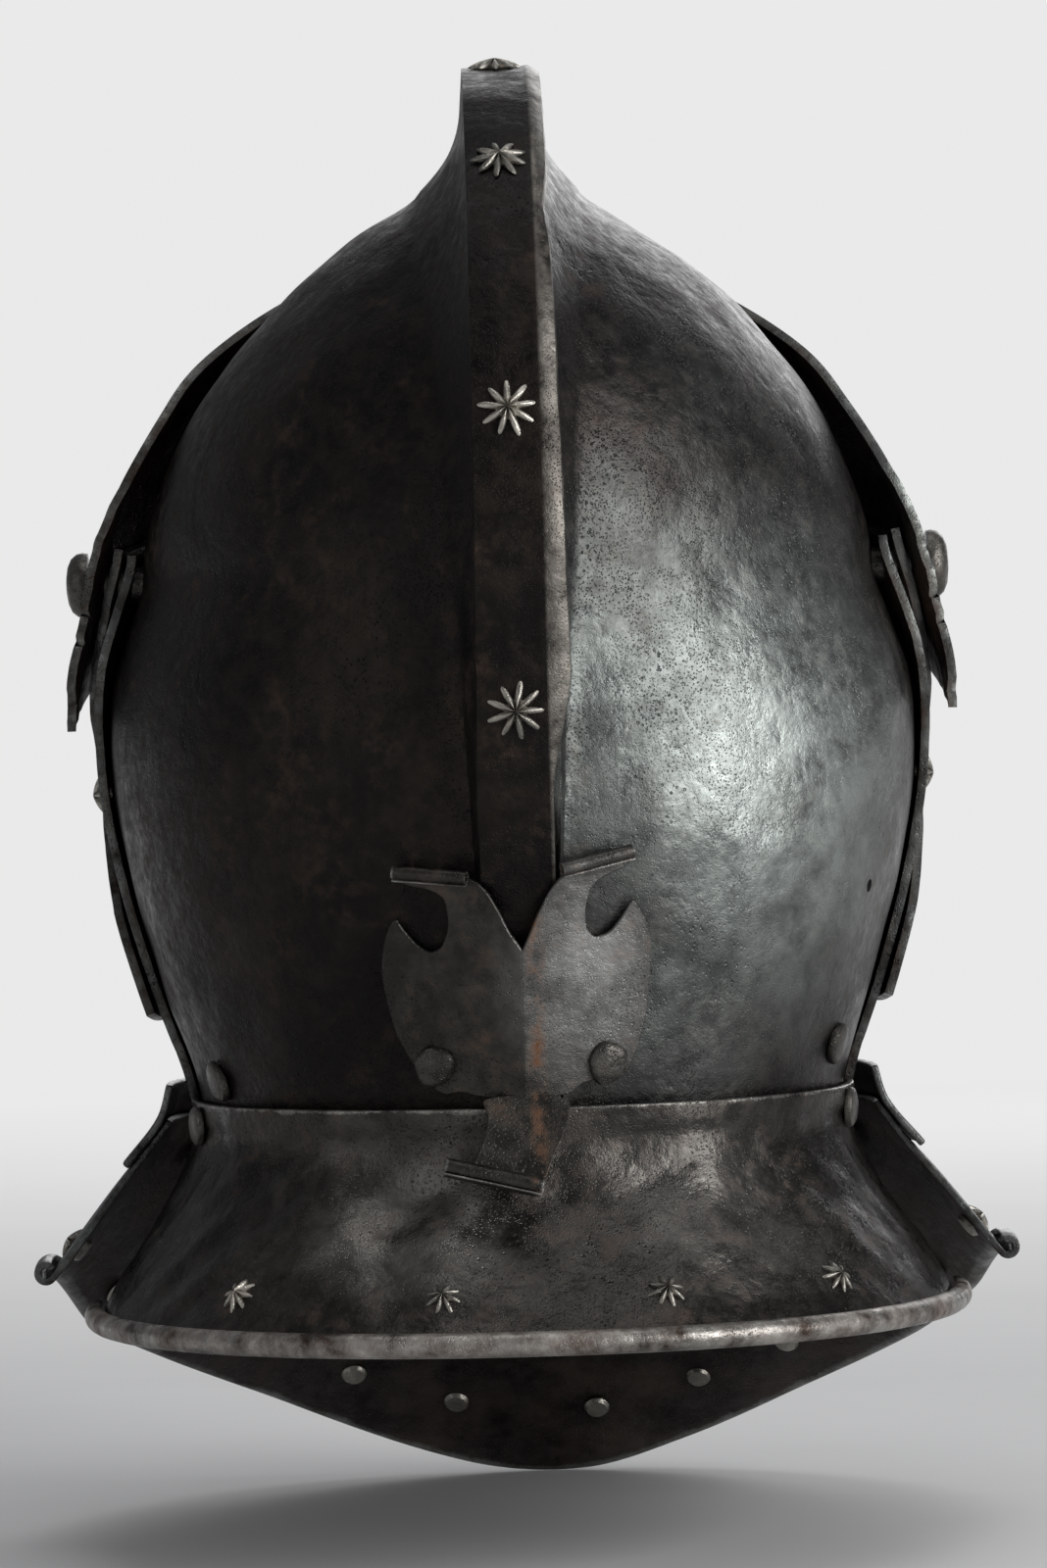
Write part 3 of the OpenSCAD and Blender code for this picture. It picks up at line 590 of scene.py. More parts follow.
class Nodes:
    """A short way to write node trees."""

    def __init__(self, name):
        self.mat = bpy.data.materials.new(name)
        self.mat.use_nodes = True
        self.tree = self.mat.node_tree
        self.tree.nodes.clear()
        self.out = self.tree.nodes.new("ShaderNodeOutputMaterial")
        self.coord = self.tree.nodes.new("ShaderNodeTexCoord").outputs["Object"]

    def add(self, kind, **values):
        n = self.tree.nodes.new(kind)
        for k, v in values.items():
            setattr(n, k, v)
        return n

    def put(self, socket, value):
        if hasattr(value, "is_output"):
            self.tree.links.new(value, socket)
        else:
            socket.default_value = value

    def noise(self, scale, detail=4.0, rough=0.55, distortion=0.0):
        n = self.add("ShaderNodeTexNoise")
        self.put(n.inputs["Vector"], self.coord)
        n.inputs["Scale"].default_value = scale
        n.inputs["Detail"].default_value = detail
        n.inputs["Roughness"].default_value = rough
        n.inputs["Distortion"].default_value = distortion
        return n.outputs["Fac"]

    def cells(self, scale):
        n = self.add("ShaderNodeTexVoronoi", feature="F1")
        self.put(n.inputs["Vector"], self.coord)
        n.inputs["Scale"].default_value = scale
        return n.outputs["Distance"]

    def range(self, value, a, b, c=0.0, d=1.0):
        n = self.add("ShaderNodeMapRange")
        self.put(n.inputs["Value"], value)
        n.inputs["From Min"].default_value = a
        n.inputs["From Max"].default_value = b
        n.inputs["To Min"].default_value = c
        n.inputs["To Max"].default_value = d
        return n.outputs["Result"]

    def math(self, op, a, b=0.0):
        n = self.add("ShaderNodeMath", operation=op)
        self.put(n.inputs[0], a)
        self.put(n.inputs[1], b)
        return n.outputs[0]

    def mix(self, fac, a, b):
        n = self.add("ShaderNodeMix", data_type="RGBA")
        self.put(n.inputs["Factor"], fac)
        self.put(n.inputs["A"], a)
        self.put(n.inputs["B"], b)
        return n.outputs["Result"]

    def attribute(self, name):
        return self.add("ShaderNodeAttribute", attribute_name=name).outputs["Fac"]

    def blob(self, centre, size):
        """1 at a point of the frame given in mm, fading to 0 at the given sizes along X, Y and Z."""
        m = self.add("ShaderNodeMapping", vector_type="POINT")
        self.put(m.inputs["Vector"], self.coord)
        m.inputs["Location"].default_value = [-c / s for c, s in zip(centre, size)]
        m.inputs["Scale"].default_value = [1000 / s for s in size]
        length = self.add("ShaderNodeVectorMath", operation="LENGTH")
        self.put(length.inputs[0], m.outputs["Vector"])
        return self.range(length.outputs["Value"], 1.0, 0.2)

    def bump(self, height, strength, distance, normal=None):
        n = self.add("ShaderNodeBump")
        self.put(n.inputs["Height"], height)
        n.inputs["Strength"].default_value = strength
        n.inputs["Distance"].default_value = distance
        if normal is not None:
            self.put(n.inputs["Normal"], normal)
        return n.outputs["Normal"]


def steel(name, dark, mid, bright, rust, rust_level, sheen_and_rubbing_spots=(), wear=0.75, pitting=1.0, rough=(0.27, 0.5),
          lip=False, crease=None):
    """Old patinated steel: mottled brown-black skin, pits, brighter places of painted sheen and of rubbing, bare
    rims and rust.

    The list of spots gives the brighter places by centre and sizes in mm and their amount: painted sheen and
    highlights where the lamps' light falls, in places over metal truly polished by rubbing; crease is the X of a
    rusty line in m.
    """
    t = Nodes(name)
    large = t.noise(26, 5, 0.6, distortion=0.3)
    small = t.noise(170, 6, 0.65)
    grain = t.noise(900, 3, 0.6)
    cloud = t.noise(60, 4, 0.6)
    mottled = t.math("ADD", t.math("MULTIPLY", large, 0.55), t.math("MULTIPLY", small, 0.45))
    colour = t.mix(t.range(mottled, 0.44, 0.64), dark, mid)
    # Brighter blobs: mostly painted sheen and highlights where the lamps' light falls, in places over metal
    # truly polished by rubbing
    sheen_and_rubbing = None
    for centre, size, amount in sheen_and_rubbing_spots:
        m = t.math("MULTIPLY", t.blob(centre, size), amount)
        sheen_and_rubbing = m if sheen_and_rubbing is None else t.math("MAXIMUM", sheen_and_rubbing, m)
    if sheen_and_rubbing is not None:
        uneven_sheen = t.math("ADD", cloud, t.math("MULTIPLY", small, 0.5))
        broken = t.math("MULTIPLY", sheen_and_rubbing, t.range(uneven_sheen, 0.52, 0.86, 0.35, 1.0))
        colour = t.mix(broken, colour, bright)
    # Rust lies in clouds, more of it on the inside
    inside = t.attribute("inside")
    seat = t.range(t.noise(48, 6, 0.7, distortion=0.6), 0.5, 0.74)
    specks = t.range(small, 0.5, 0.7)
    rusty = t.math("MULTIPLY", t.math("MULTIPLY", seat, specks), rust_level)
    rusty = t.math("MAXIMUM", rusty, t.math("MULTIPLY", inside, t.range(cloud, 0.4, 0.7, 0.1, 0.75)))
    if crease is not None:
        across = t.add("ShaderNodeSeparateXYZ")
        t.put(across.inputs[0], t.coord)
        off = t.math("ABSOLUTE", t.math("SUBTRACT", across.outputs["X"], crease))
        line = t.math("MULTIPLY", t.range(off, 0.0028, 0.0002), t.range(small, 0.42, 0.6))
        rusty = t.math("MAXIMUM", rusty, line)
    colour = t.mix(rusty, colour, rust)
    # Bare metal along the rims, broken up
    rim = t.attribute("rim")
    broken_rim = t.range(t.math("ADD", rim, t.math("MULTIPLY", t.noise(110, 5, 0.7), 0.9)), 1.3, 1.62)
    broken_rim = t.math("MULTIPLY", broken_rim, wear)
    if lip:
        # The comb's turned-over edge is rubbed bright
        side = t.add("ShaderNodeSeparateXYZ")
        t.put(side.inputs[0], t.coord)
        edge = t.range(side.outputs["X"], 0.0074, 0.0082)
        gaps = t.math("ADD", cloud, t.math("MULTIPLY", small, 0.7))
        edge = t.math("MULTIPLY", edge, t.range(gaps, 0.66, 1.0, 0.05, 0.8))
        broken_rim = t.math("MAXIMUM", broken_rim, edge)
    colour = t.mix(broken_rim, colour, bright)
    # Pits: small sunken cells of uneven size, dark inside
    pit_place = t.range(t.noise(36, 3, 0.6), 0.46, 0.72)
    uneven = t.math("ADD", t.cells(640), t.math("MULTIPLY", small, 0.5))
    pits = t.math("MULTIPLY", t.range(uneven, 0.5, 0.3), pit_place)
    fine = t.math("MULTIPLY", t.range(t.cells(1500), 0.34, 0.1), t.range(t.noise(80), 0.36, 0.66))
    pit_colour = rgb(dark[0] * 0.4, dark[1] * 0.36, dark[2] * 0.34)
    colour = t.mix(t.math("MULTIPLY", pits, 0.5 * pitting), colour, pit_colour)
    shader = t.add("ShaderNodeBsdfPrincipled")
    t.put(shader.inputs["Base Color"], colour)
    metal = t.range(rusty, 0.0, 0.8, 0.9, 0.25)
    t.put(shader.inputs["Metallic"], metal)
    peel = t.noise(420, 4, 0.6)
    skin = t.math("ADD", t.math("MULTIPLY", small, 0.6), t.math("MULTIPLY", peel, 0.4))
    roughness = t.range(skin, 0.38, 0.62, rough[0], rough[1])
    roughness = t.math("ADD", roughness, t.math("MULTIPLY", rusty, 0.3))
    roughness = t.math("SUBTRACT", roughness, t.math("MULTIPLY", broken_rim, 0.1))
    t.put(shader.inputs["Roughness"], roughness)
    normal = t.bump(t.noise(52, 3, 0.5, distortion=0.2), 0.7, 0.0011)
    normal = t.bump(t.noise(112, 2, 0.5), 0.6, 0.0008, normal)
    normal = t.bump(small, 0.6, 0.0005, normal)
    hollow = t.math("ADD", t.math("MULTIPLY", pits, -1.0 * pitting), t.math("MULTIPLY", fine, -0.8 * pitting))
    normal = t.bump(hollow, 0.9, 0.0003, normal)
    normal = t.bump(peel, 0.75, 0.0003, normal)
    normal = t.bump(grain, 0.35, 0.00012, normal)
    t.put(shader.inputs["Normal"], normal)
    t.put(t.out.inputs["Surface"], shader.outputs["BSDF"])
    return t.mat


BLACK = rgb(0.014, 0.013, 0.0125)
BROWN = rgb(0.038, 0.032, 0.028)
GREY = rgb(0.3, 0.325, 0.31)
RUST = rgb(0.085, 0.034, 0.016)

# Left half: a darker copy of the skull's steel, painted shade on the side away from the key lamp, with real rust
# specks and a worn comb edge
left_mat = steel("left_half_steel_painted_shade", rgb(0.011, 0.0098, 0.0092), rgb(0.028, 0.0225, 0.019),
                 rgb(0.2, 0.185, 0.165), rgb(0.06, 0.026, 0.014), 0.75, wear=0.5, rough=(0.34, 0.6), lip=True)
# Right half: broad painted sheen where the key lamp falls, beside the comb, high on the dome and low at the
# back, partly over metal truly polished by rubbing
skull_mat = steel("patinated_skull_painted_sheen", BLACK, rgb(0.042, 0.037, 0.034), GREY, RUST, 0.4,
                  sheen_and_rubbing_spots=[((68, -80, -50), (66, 75, 78), 1.0), ((25, -110, -45), (26, 40, 80), 0.55),
                        ((60, -70, 45), (45, 60, 40), 0.12), ((40, -90, -105), (50, 40, 35), 0.4)])
# Painted sheen on the plates' right sides, where the key lamp falls
plate_mat = steel("patinated_plates_painted_sheen", BLACK, BROWN, GREY, RUST, 0.5, wear=0.45,
                  sheen_and_rubbing_spots=[((95, -10, 20), (30, 60, 60), 0.45), ((100, 40, -60), (40, 80, 60), 0.3)])
# Painted glints on the nape plate's dents and a faint broad painted sheen across its back; the bright rims are
# real wear
collar_mat = steel("worn_collar_painted_glints", rgb(0.022, 0.02, 0.018), rgb(0.065, 0.058, 0.052),
                   rgb(0.44, 0.42, 0.39), RUST, 0.85, wear=0.9, rough=(0.22, 0.44),
                   sheen_and_rubbing_spots=[((-30, -105, -158), (34, 40, 22), 0.45), ((55, -100, -155), (50, 40, 26), 0.35),
                         ((0, -110, -150), (110, 60, 40), 0.12)])
front_mat = steel("rusty_front_plate", BLACK, rgb(0.06, 0.056, 0.054), GREY, rgb(0.04, 0.024, 0.017), 0.6,
                  wear=0.5, pitting=1.3)
# A painted highlight on the holder's lit right wing; real rust along its crease
holder_mat = steel("plume_holder_sheet", rgb(0.03, 0.028, 0.026), rgb(0.075, 0.068, 0.06),
                   rgb(0.34, 0.34, 0.33), rgb(0.12, 0.05, 0.02), 0.8,
                   crease=0.003, sheen_and_rubbing_spots=[((15, -100, -98), (24, 30, 34), 0.8)])
rivet_mat = steel("worn_rivets", rgb(0.05, 0.047, 0.043), rgb(0.16, 0.15, 0.135),
                  rgb(0.42, 0.41, 0.38), RUST, 0.5)
star_mat = steel("star_heads", rgb(0.2, 0.19, 0.17), rgb(0.5, 0.47, 0.42), rgb(0.75, 0.72, 0.66),
                 rgb(0.09, 0.05, 0.03), 0.5, pitting=0.6, rough=(0.26, 0.45))

SLOTS = {"black_steel": plate_mat, "worn_steel": rivet_mat, "bronzed_steel": star_mat}
used = {s["node"]: s["material_slot"] for s in frame["record"]["subparts"]}
for node, obj in frame["nodes"].items():
    if not obj.data.materials:
        obj.data.materials.append(None)
    for s in range(len(obj.data.materials)):
        obj.material_slots[s].material = SLOTS[used[node]]


def stand_in(obj, body, *nodes):
    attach(obj, body)
    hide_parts(*nodes)


def frame_at(p, n, turn=0.0):
    n = Vector([float(q) for q in n]).normalized()
    side = n.cross(Vector((0, 0, 1)))
    if side.length < 0.05:
        side = Vector((1, 0, 0))
    side.normalize()
    up = side.cross(n)
    m = Matrix((side, up, n)).transposed().to_4x4()
    m.translation = Vector([float(q) for q in p])
    return m @ Matrix.Rotation(math.radians(turn), 4, "Z")


def circle(m, r, z, count):
    """Points round the Z axis of a frame, at a radius and height."""
    pts = []
    for j in range(count):
        t = 2 * math.pi * j / count
        pts.append(tuple(m @ Vector((r * math.cos(t), r * math.sin(t), z))))
    return pts


TUBE_SIDES = 32


def tube(m, r, reach):
    """The two end circles of a cutter for a round hole, a reach to both sides of the sheet."""
    return [circle(m, r, -reach, TUBE_SIDES), circle(m, r, reach, TUBE_SIDES)]


# ---- The skull ----

# The hole for the stud of the lost hook that locked the bevor
STUD_HOLE_Y = -49
STUD_HOLE_Z = -81
STUD_HOLE_R = 1.6
STUD_HOLE_REACH = 10


def skull_frame(y, z, side=1):
    """A frame on the skull's right side, or left with side -1, its Z axis out of the sheet."""
    h = 1.5
    gy = (skull_x(y + h, z) - skull_x(y - h, z)) / (2 * h)
    gz = (skull_x(y, z + h) - skull_x(y, z - h)) / (2 * h)
    return frame_at((side * skull_x(y, z), y, z), (side, -gy, -gz))


HAMMER_SIZE = 26
HAMMER_DEPTH = 0.35


def hammered(outer, inner, seed):
    """Both grids moved by the same uneven waves, which fade at the first and last column."""
    n = grid_normals(outer)
    fine = waves(outer, seed, HAMMER_SIZE) * HAMMER_DEPTH
    w = fine + waves(outer, seed + 1, HAMMER_SIZE * 2.4) * HAMMER_DEPTH * 1.2
    cols = w.shape[1]
    fade = np.minimum(1, np.minimum(np.arange(cols), np.arange(cols)[::-1]) / 5)[None, :]
    shift = n * (w * fade)[..., None]
    return outer + shift, inner + shift


left_outer, left_inner = skull_left_grids()
# A ragged lip along the comb's lapped edge, with a torn flake high up on it at the back
FLAKE_Z = 83
FLAKE_HALF = 9
lip = left_outer[:, -1]
nick = 0.5 * waves(lip, 5, 9) + 0.35 * waves(lip, 6, 4)
flake = np.clip(1 - np.abs(lip[:, 2] - FLAKE_Z) / FLAKE_HALF, 0, 1) * (lip[:, 1] < -40)
for g in (left_outer, left_inner):
    g[:, -2:, 0] += (0.25 * nick - 1.2 * flake)[:, None]
skull_left = sheet_mesh("skull_left_plate", *hammered(left_outer, left_inner, 11), left_mat)
skull_right = sheet_mesh("skull_right_plate", *hammered(*skull_right_grids(), 21), skull_mat)
stud_hole = tube(skull_frame(STUD_HOLE_Y, STUD_HOLE_Z), STUD_HOLE_R, STUD_HOLE_REACH)
cut(skull_right, [solid("stud_hole", stud_hole, None)])
stand_in(skull_left, "skull", "skull_left")
stand_in(skull_right, "skull", "skull_right")

# ---- The collars ----

COLLAR_RIM = 5
CURL_STEPS = 16
# Across, height, radius and depth of each dent and swelling
DENTS = [(-30, -152, 14, -3.4), (-20, -164, 10, 2.2), (-48, -158, 12, 1.6), (8, -152, 14, -2.0),
         (45, -164, 18, 1.3), (60, -150, 14, -2.2), (-75, -158, 15, 1.2), (28, -150, 9, -1.4)]


def dents(h, a, p):
    """The nape plate's uneven form, with a step under its upper edge."""
    x, y, z = p[..., 0], p[..., 1], p[..., 2]
    out = 0.6 * waves(p, 31, 34) + 0.5 * waves(p, 32, 14)
    for cx, cz, r, d in DENTS:
        out = out + d * np.exp(-((x - cx) ** 2 + (z - cz) ** 2) / (2 * (r * 0.55) ** 2)) * (y < 0)
    step = 0.5 * np.clip((0.115 - h) / 0.012, 0, 1)
    fade = np.clip((1 - h) / 0.12, 0, 1) * np.clip(h / 0.05 + 0.2, 0, 1)
    return out * fade + step


def front_shape(h, a, p):
    return 0.5 * waves(p, 41, 40) * np.clip((1 - h) / 0.1, 0, 1) * np.clip(h / 0.2, 0, 1)


nape = sheet_mesh("nape_collar", *collar_grids(nape_at, 0, -180, 190, 34, CURL_STEPS, GORGET_T, dents),
                  collar_mat, COLLAR_RIM, rolled=CURL_STEPS)
stand_in(nape, "skull", "nape_plate")
front = sheet_mesh("front_collar", *collar_grids(front_at, -4, 184, 190, 40, CURL_STEPS, GORGET_T, front_shape),
                   front_mat, COLLAR_RIM, rolled=CURL_STEPS)
stand_in(front, "bevor", "gorget_front")
lame = sheet_mesh("neck_lame_band", *collar_grids(lame_at, -6, 186, 160, 14, 0, GORGET_T), front_mat, COLLAR_RIM)
stand_in(lame, "bevor", "neck_lame")

# ---- The face plates ----

HOLE_R = 2.5
HOLE_REACH = 12
SIGHT = [(-18, -3.5), (-17, -3.5), (17, -3.5), (18, -2.9), (18, 2.9), (17, 3.5), (-17, 3.5), (-18, 2.9)]
SIGHT_X = 31
SIGHT_Z = 24
SIGHT_LEAN = 4
SIGHT_REACH = (70, 190)


def plate_frame(plan, y, z, side):
    """A frame on a plate's outside, its Z axis out of the sheet."""
    p = plate_point(plan, y, z, PLATE_T)
    n = plate_normal(plan, np.array(float(y)), np.array(float(z)))
    return frame_at(p * [side, 1, 1], n * [side, 1, 1])


def ragged_edge(seed, amount):
    """Small nicks and waves along a plate's rear edge."""
    def shift(side, u, v):
        w = np.clip((u - 0.8) / 0.2, 0, 1) ** 2
        p = np.stack([side * 40 + 0 * u, v * 100, 0 * u], -1)
        d = amount * (0.7 * waves(p, seed, 16) + 0.5 * waves(p, seed + 1, 6))
        e = np.sin(np.pi * np.clip(v, 0, 1)) ** 0.5
        return np.stack([w * d * e, 0 * u], -1)
    return shift


bevor = sheet_mesh("bevor_plate", *plate_sheet(
    BEVOR, [-62, -12], [[4, -137], [-4, -100], [-9, -60], [-13, -20], [-8.5, 7]],
    [[50, -136], [27, -137]], [[110, -16], [60, 2], [18, 8]], ragged_edge(51, 1.0)), plate_mat)
ventail = sheet_mesh("ventail_plate", *plate_sheet(
    VENTAIL, [-38, 7], [[-6, -108], [-5, -88], [13, -68], [20, -48], [8, -30], [-8, -14], [-8.5, 8]],
    [[92, -100], [50, -106], [20, -110]], [[110, 16], [60, 15], [18, 9]], ragged_edge(61, 0.9)), plate_mat)
visor = sheet_mesh("visor_plate", *plate_sheet(
    VISOR, [-3, 45], [[-19, -37], [-16, -14], [-15, 8], [-11, 34]],
    [[100, -12], [50, -16], [8, -30]], [[72, 84], [42, 74], [8, 54]], ragged_edge(71, 1.4)), plate_mat)

# Breath holes, three rows of three on each side
cutters = []
for s in (-1, 1):
    for i in range(3):
        for k in range(3):
            m = plate_frame(VENTAIL, 126 - 13 * k - 4 * i, -14 - 15 * i, s)
            cutters.append(solid("hole", tube(m, HOLE_R, HOLE_REACH), None))
cut(ventail, cutters)

# Sights, a slit on each side of the keel
cutters = []
for s in (-1, 1):
    c, q = math.cos(math.radians(SIGHT_LEAN * s)), math.sin(math.radians(SIGHT_LEAN * s))
    leaning = [(s * SIGHT_X + dx * c + dz * q, SIGHT_Z - dx * q + dz * c) for dx, dz in SIGHT]
    cutters.append(solid("slit", [[(x, y, z) for x, z in leaning] for y in SIGHT_REACH], None))
cut(visor, cutters)
stand_in(bevor, "bevor", "bevor")
stand_in(ventail, "ventail", "ventail")
stand_in(visor, "visor", "visor")

# ---- Rivets ----

CORE = 0.05  # stands for a point on a profile's axis
SHANK_R = 1.9
BURR_R = 3.5
ROSETTE = (4.8, 8, 1.9)  # radius, rays and height
COMB_STAR = (7.0, 9, 2.0)
STAR_RINGS = 12
FLAT = [(CORE, 0), (5, 0), (5.05, 0.7), (4.7, 1.5), (3.6, 2.0), (CORE, 2.2)]
SMALL = [(CORE, 0), (3, 0), (3.05, 0.7), (2.7, 1.5), (1.9, 2.0), (CORE, 2.2)]


def raised(m, height):
    return m @ Matrix.Translation((0, 0, height))


def star(m, r, points, height, seed):
    """A rosette head: raised rays with hollows between them, on a thin rim."""
    def reach(t):
        return 0.4 + 0.6 * abs(math.cos(points * t / 2)) ** 2.4

    count = points * 12
    rings = []
    for i in range(STAR_RINGS):
        f = 1 - i / (STAR_RINGS - 1)
        ring_pts = []
        for j in range(count):
            t = 2 * math.pi * j / count
            ray = abs(math.cos(points * t / 2))
            rr = r * reach(t) * (1 + 0.05 * math.sin(3 * t + seed)) * f
            flat = rr / r
            z = height * (1 - flat ** 1.5) * (0.35 + 0.65 * ray ** 1.4) + 0.35 * (1 - f ** 6)
            ring_pts.append(tuple(m @ Vector((rr * math.cos(t), rr * math.sin(t), z + 0.1))))
        rings.append(ring_pts)
    base = []
    for j in range(count):
        t = 2 * math.pi * j / count
        rr = 0.96 * r * reach(t)
        base.append(tuple(m @ Vector((rr * math.cos(t), rr * math.sin(t), 0))))
    rings[-1] = circle(m, 0.02, height + 0.45, count)
    return solid("star", [base] + rings, star_mat)


def round_head(m, profile, material, seed=0, sides=40, wobble=0.05):
    """A hammered head turned from a profile of radius and height, a little out of round."""
    rng = np.random.RandomState(seed)
    ph = rng.uniform(0, 6.28, 4)
    rings = []
    for r, z in profile:
        pts = []
        for j in range(sides):
            t = 2 * math.pi * j / sides
            uneven = math.sin(2 * t + ph[0]) + 0.6 * math.sin(3 * t + ph[1]) + 0.5 * math.sin(5 * t + ph[2])
            w = 1 + wobble * uneven
            tilt = 0.12 * wobble / 0.05 * math.sin(t + ph[3]) * min(1, r / 4) * (z > 0.5)
            pts.append(tuple(m @ Vector((r * w * math.cos(t), r * w * math.sin(t), z + tilt))))
        rings.append(pts)
    return solid("head", rings, material)


def shank(m, grip, seat, material):
    """A shank from under the head down to its burr below the sheets."""
    profile = [(CORE, -grip - 1.3), (BURR_R - 0.7, -grip - 1), (BURR_R, -grip),
               (SHANK_R, -grip + 0.05), (SHANK_R, seat + 0.3), (CORE, seat + 0.3)]
    return round_head(m, profile, material, 3, 20, 0.0)


def rivet(m, profile, seat, grip, seed, sides=40, wobble=0.05):
    head = round_head(raised(m, seat), profile, rivet_mat, seed, sides, wobble)
    return [head, shank(m, grip, seat, rivet_mat)]


STAR_U = [0.035, 0.148, 0.3, 0.446, 0.603, 0.762]
pieces = []
for i, u in enumerate(STAR_U):
    y, z = comb_point(u, 0)
    y0, z0 = comb_point(u - 0.01, 0)
    y1, z1 = comb_point(u + 0.01, 0)
    turn = math.atan2(z1 - z0, y1 - y0) + math.pi
    n = (0, -math.sin(turn), math.cos(turn))
    m = frame_at((0, float(y), float(z)), n, 11 * i + 5)
    pieces.append(star(raised(m, 0.05), *COMB_STAR, i))
    pieces.append(shank(m, 2 * SKULL_T + 0.7, 0.05, star_mat))
stand_in(join("comb_stars", pieces), "skull", "comb_star_rivets")


def collar_frames(f, h, angles):
    for k, a in enumerate(angles):
        p = f(np.array(h), np.array(float(a)))
        n = outward(f, np.array(h), np.array(float(a)))
        yield k, frame_at(p, n, 17 * k)


def rosettes(name, f, h, angles, seat, node, body):
    parts = []
    for k, m in collar_frames(f, h, angles):
        parts.append(star(raised(m, seat), *ROSETTE, 20 + k))
        parts.append(shank(m, GORGET_T + 0.4, seat, star_mat))
    stand_in(join(name, parts), body, node)


rosettes("nape_rosettes", nape_at, 0.8, [-131, -100, -74, -46], 0.15, "nape_rosette_rivets", "skull")
rosettes("gorget_rosettes", front_at, 0.84, [5, 21, 38, 54, 68, 82, 98, 112, 126, 142, 159, 175], 0.45,
         "gorget_rosette_rivets", "bevor")

parts = []
for k, m in collar_frames(nape_at, 0.1, [-17, -163]):
    parts += rivet(m, FLAT, 1, SKULL_T + GORGET_T + 1.4, k + 1)
for side, y, z in ((1, -41, -120), (-1, -43, -125)):
    parts += rivet(skull_frame(y, z, side), FLAT, 0.3, SKULL_T + 0.9, 5 + side, wobble=0.06)
stand_in(join("nape_rivets", parts), "skull", "nape_joining_rivets")

# Two rows; the grips are longer in front, where the sheets lie further apart
LAME_RIVETS = [24, 60, 120, 156]
parts = []
for h, seat, grips, seed in ((0.22, 1.2, (12.5, 11.9), 7), (0.8, 0.9, (10.5, 9), 13)):
    for k, m in collar_frames(lame_at, h, LAME_RIVETS):
        grip = grips[0] if 45 < LAME_RIVETS[k] < 135 else grips[1]
        parts += rivet(m, SMALL, seat, grip, k + seed, 32, 0.03)
stand_in(join("lame_rivets", parts), "bevor", "neck_lame_rivets")

# Their shanks end almost flush inside the bevor
CHEEK_Y = 1
CHEEK_Z = -53
PIN = [(CORE, -PLATE_T - 0.3), (SHANK_R, -PLATE_T - 0.3), (SHANK_R, 0.3), (CORE, 0.3)]
parts = []
for s in (-1, 1):
    m = plate_frame(BEVOR, CHEEK_Y, CHEEK_Z, s)
    parts.append(star(raised(m, 0.15), *ROSETTE, 40 + s))
    parts.append(round_head(m, PIN, star_mat, 0, 20, 0))
stand_in(join("cheek_rosettes", parts), "bevor", "bevor_rosette_rivets")

# Pivots: domed, hammered heads
PIVOT_R = 4.5
PIVOT_FOOT = 84
PIVOT = [(PIVOT_R, -0.4), (8.4, 0), (8.6, 1.2), (8.2, 2.8), (7.0, 4.2), (5.0, 5.1), (2.6, 5.5), (CORE, 5.6)]
face = float(plate_point(VISOR, 0.0, 0.0, PLATE_T)[0]) + 3.6
for s, label in ((-1, "left"), (1, "right")):
    m = frame_at((s * face, 0, 0), (s, 0, 0))
    foot = PIVOT_FOOT - face
    head = round_head(m, [(CORE, foot), (PIVOT_R, foot)] + PIVOT, rivet_mat, 50 + s, 48, 0.035)
    stand_in(join("pivot_" + label, [head]), "skull", "pivot_rivet_" + label)

# ---- The plume holder ----

HOLDER_T = 1.2
WING_TURN = 18
HOLDER_TILT = 14.5
HOLDER_SEAT = 92
HOLDER_RIVET_Z = -122
HOLDER_FOOT = -129
CREASE_Y = -(HOLDER_SEAT + 20 * math.tan(math.radians(WING_TURN)))
RIGHT_WING = [[0, -91.8], [1.5, -89], [3.8, -84], [7, -78], [11, -74], [28, -71], [28, -73.5],
              [18, -77], [16, -82.5], [16, -88], [18, -91], [22, -90], [26, -85.5], [28, -82],
              [31, -87], [32.5, -93], [32, -102], [31, -110.5], [29, -118], [25, -127],
              [17.5, -126], [14, -126.6], [11, -129], [0, -129]]
LEFT_WING = [[0, -91.8], [3, -87.8], [5, -83.6], [8, -78.3], [11, -75.5], [15, -74.5], [31.5, -74.5],
             [31.5, -77], [19, -79], [18, -87], [20, -92.5], [23, -94], [26.5, -92], [29.5, -88.5],
             [31.5, -85.5], [34, -89.7], [35.5, -98.6], [34, -107.5], [32, -115], [27.5, -123],
             [21, -129.5], [16, -128], [12, -129], [0, -129]]
TONGUE = [[-11, 1], [11, 1], [9, -9], [6, -15], [3.5, -22], [-14, -17.5], [-10.5, -11], [-9, -4]]


def rot(axis, deg):
    return Matrix.Rotation(math.radians(deg), 4, axis)


AT_CREASE = (Matrix.Translation((0, CREASE_Y, HOLDER_RIVET_Z)) @ rot("X", HOLDER_TILT)
             @ Matrix.Translation((0, 0, -HOLDER_RIVET_Z)))


def rounded(outline, steps):
    """Softens an outline's corners by cutting them, keeping its ends."""
    pts = [np.array(p, float) for p in outline]
    for _ in range(steps):
        new = []
        for i in range(len(pts)):
            a, b = pts[i], pts[(i + 1) % len(pts)]
            if abs(a[0]) < 0.01 and abs(b[0]) < 0.01:
                new += [a, b]
            else:
                new.append(a * 0.8 + b * 0.2 if abs(a[0]) > 0.01 else a)
                new.append(a * 0.2 + b * 0.8 if abs(b[0]) > 0.01 else b)
        pts = new
    return pts


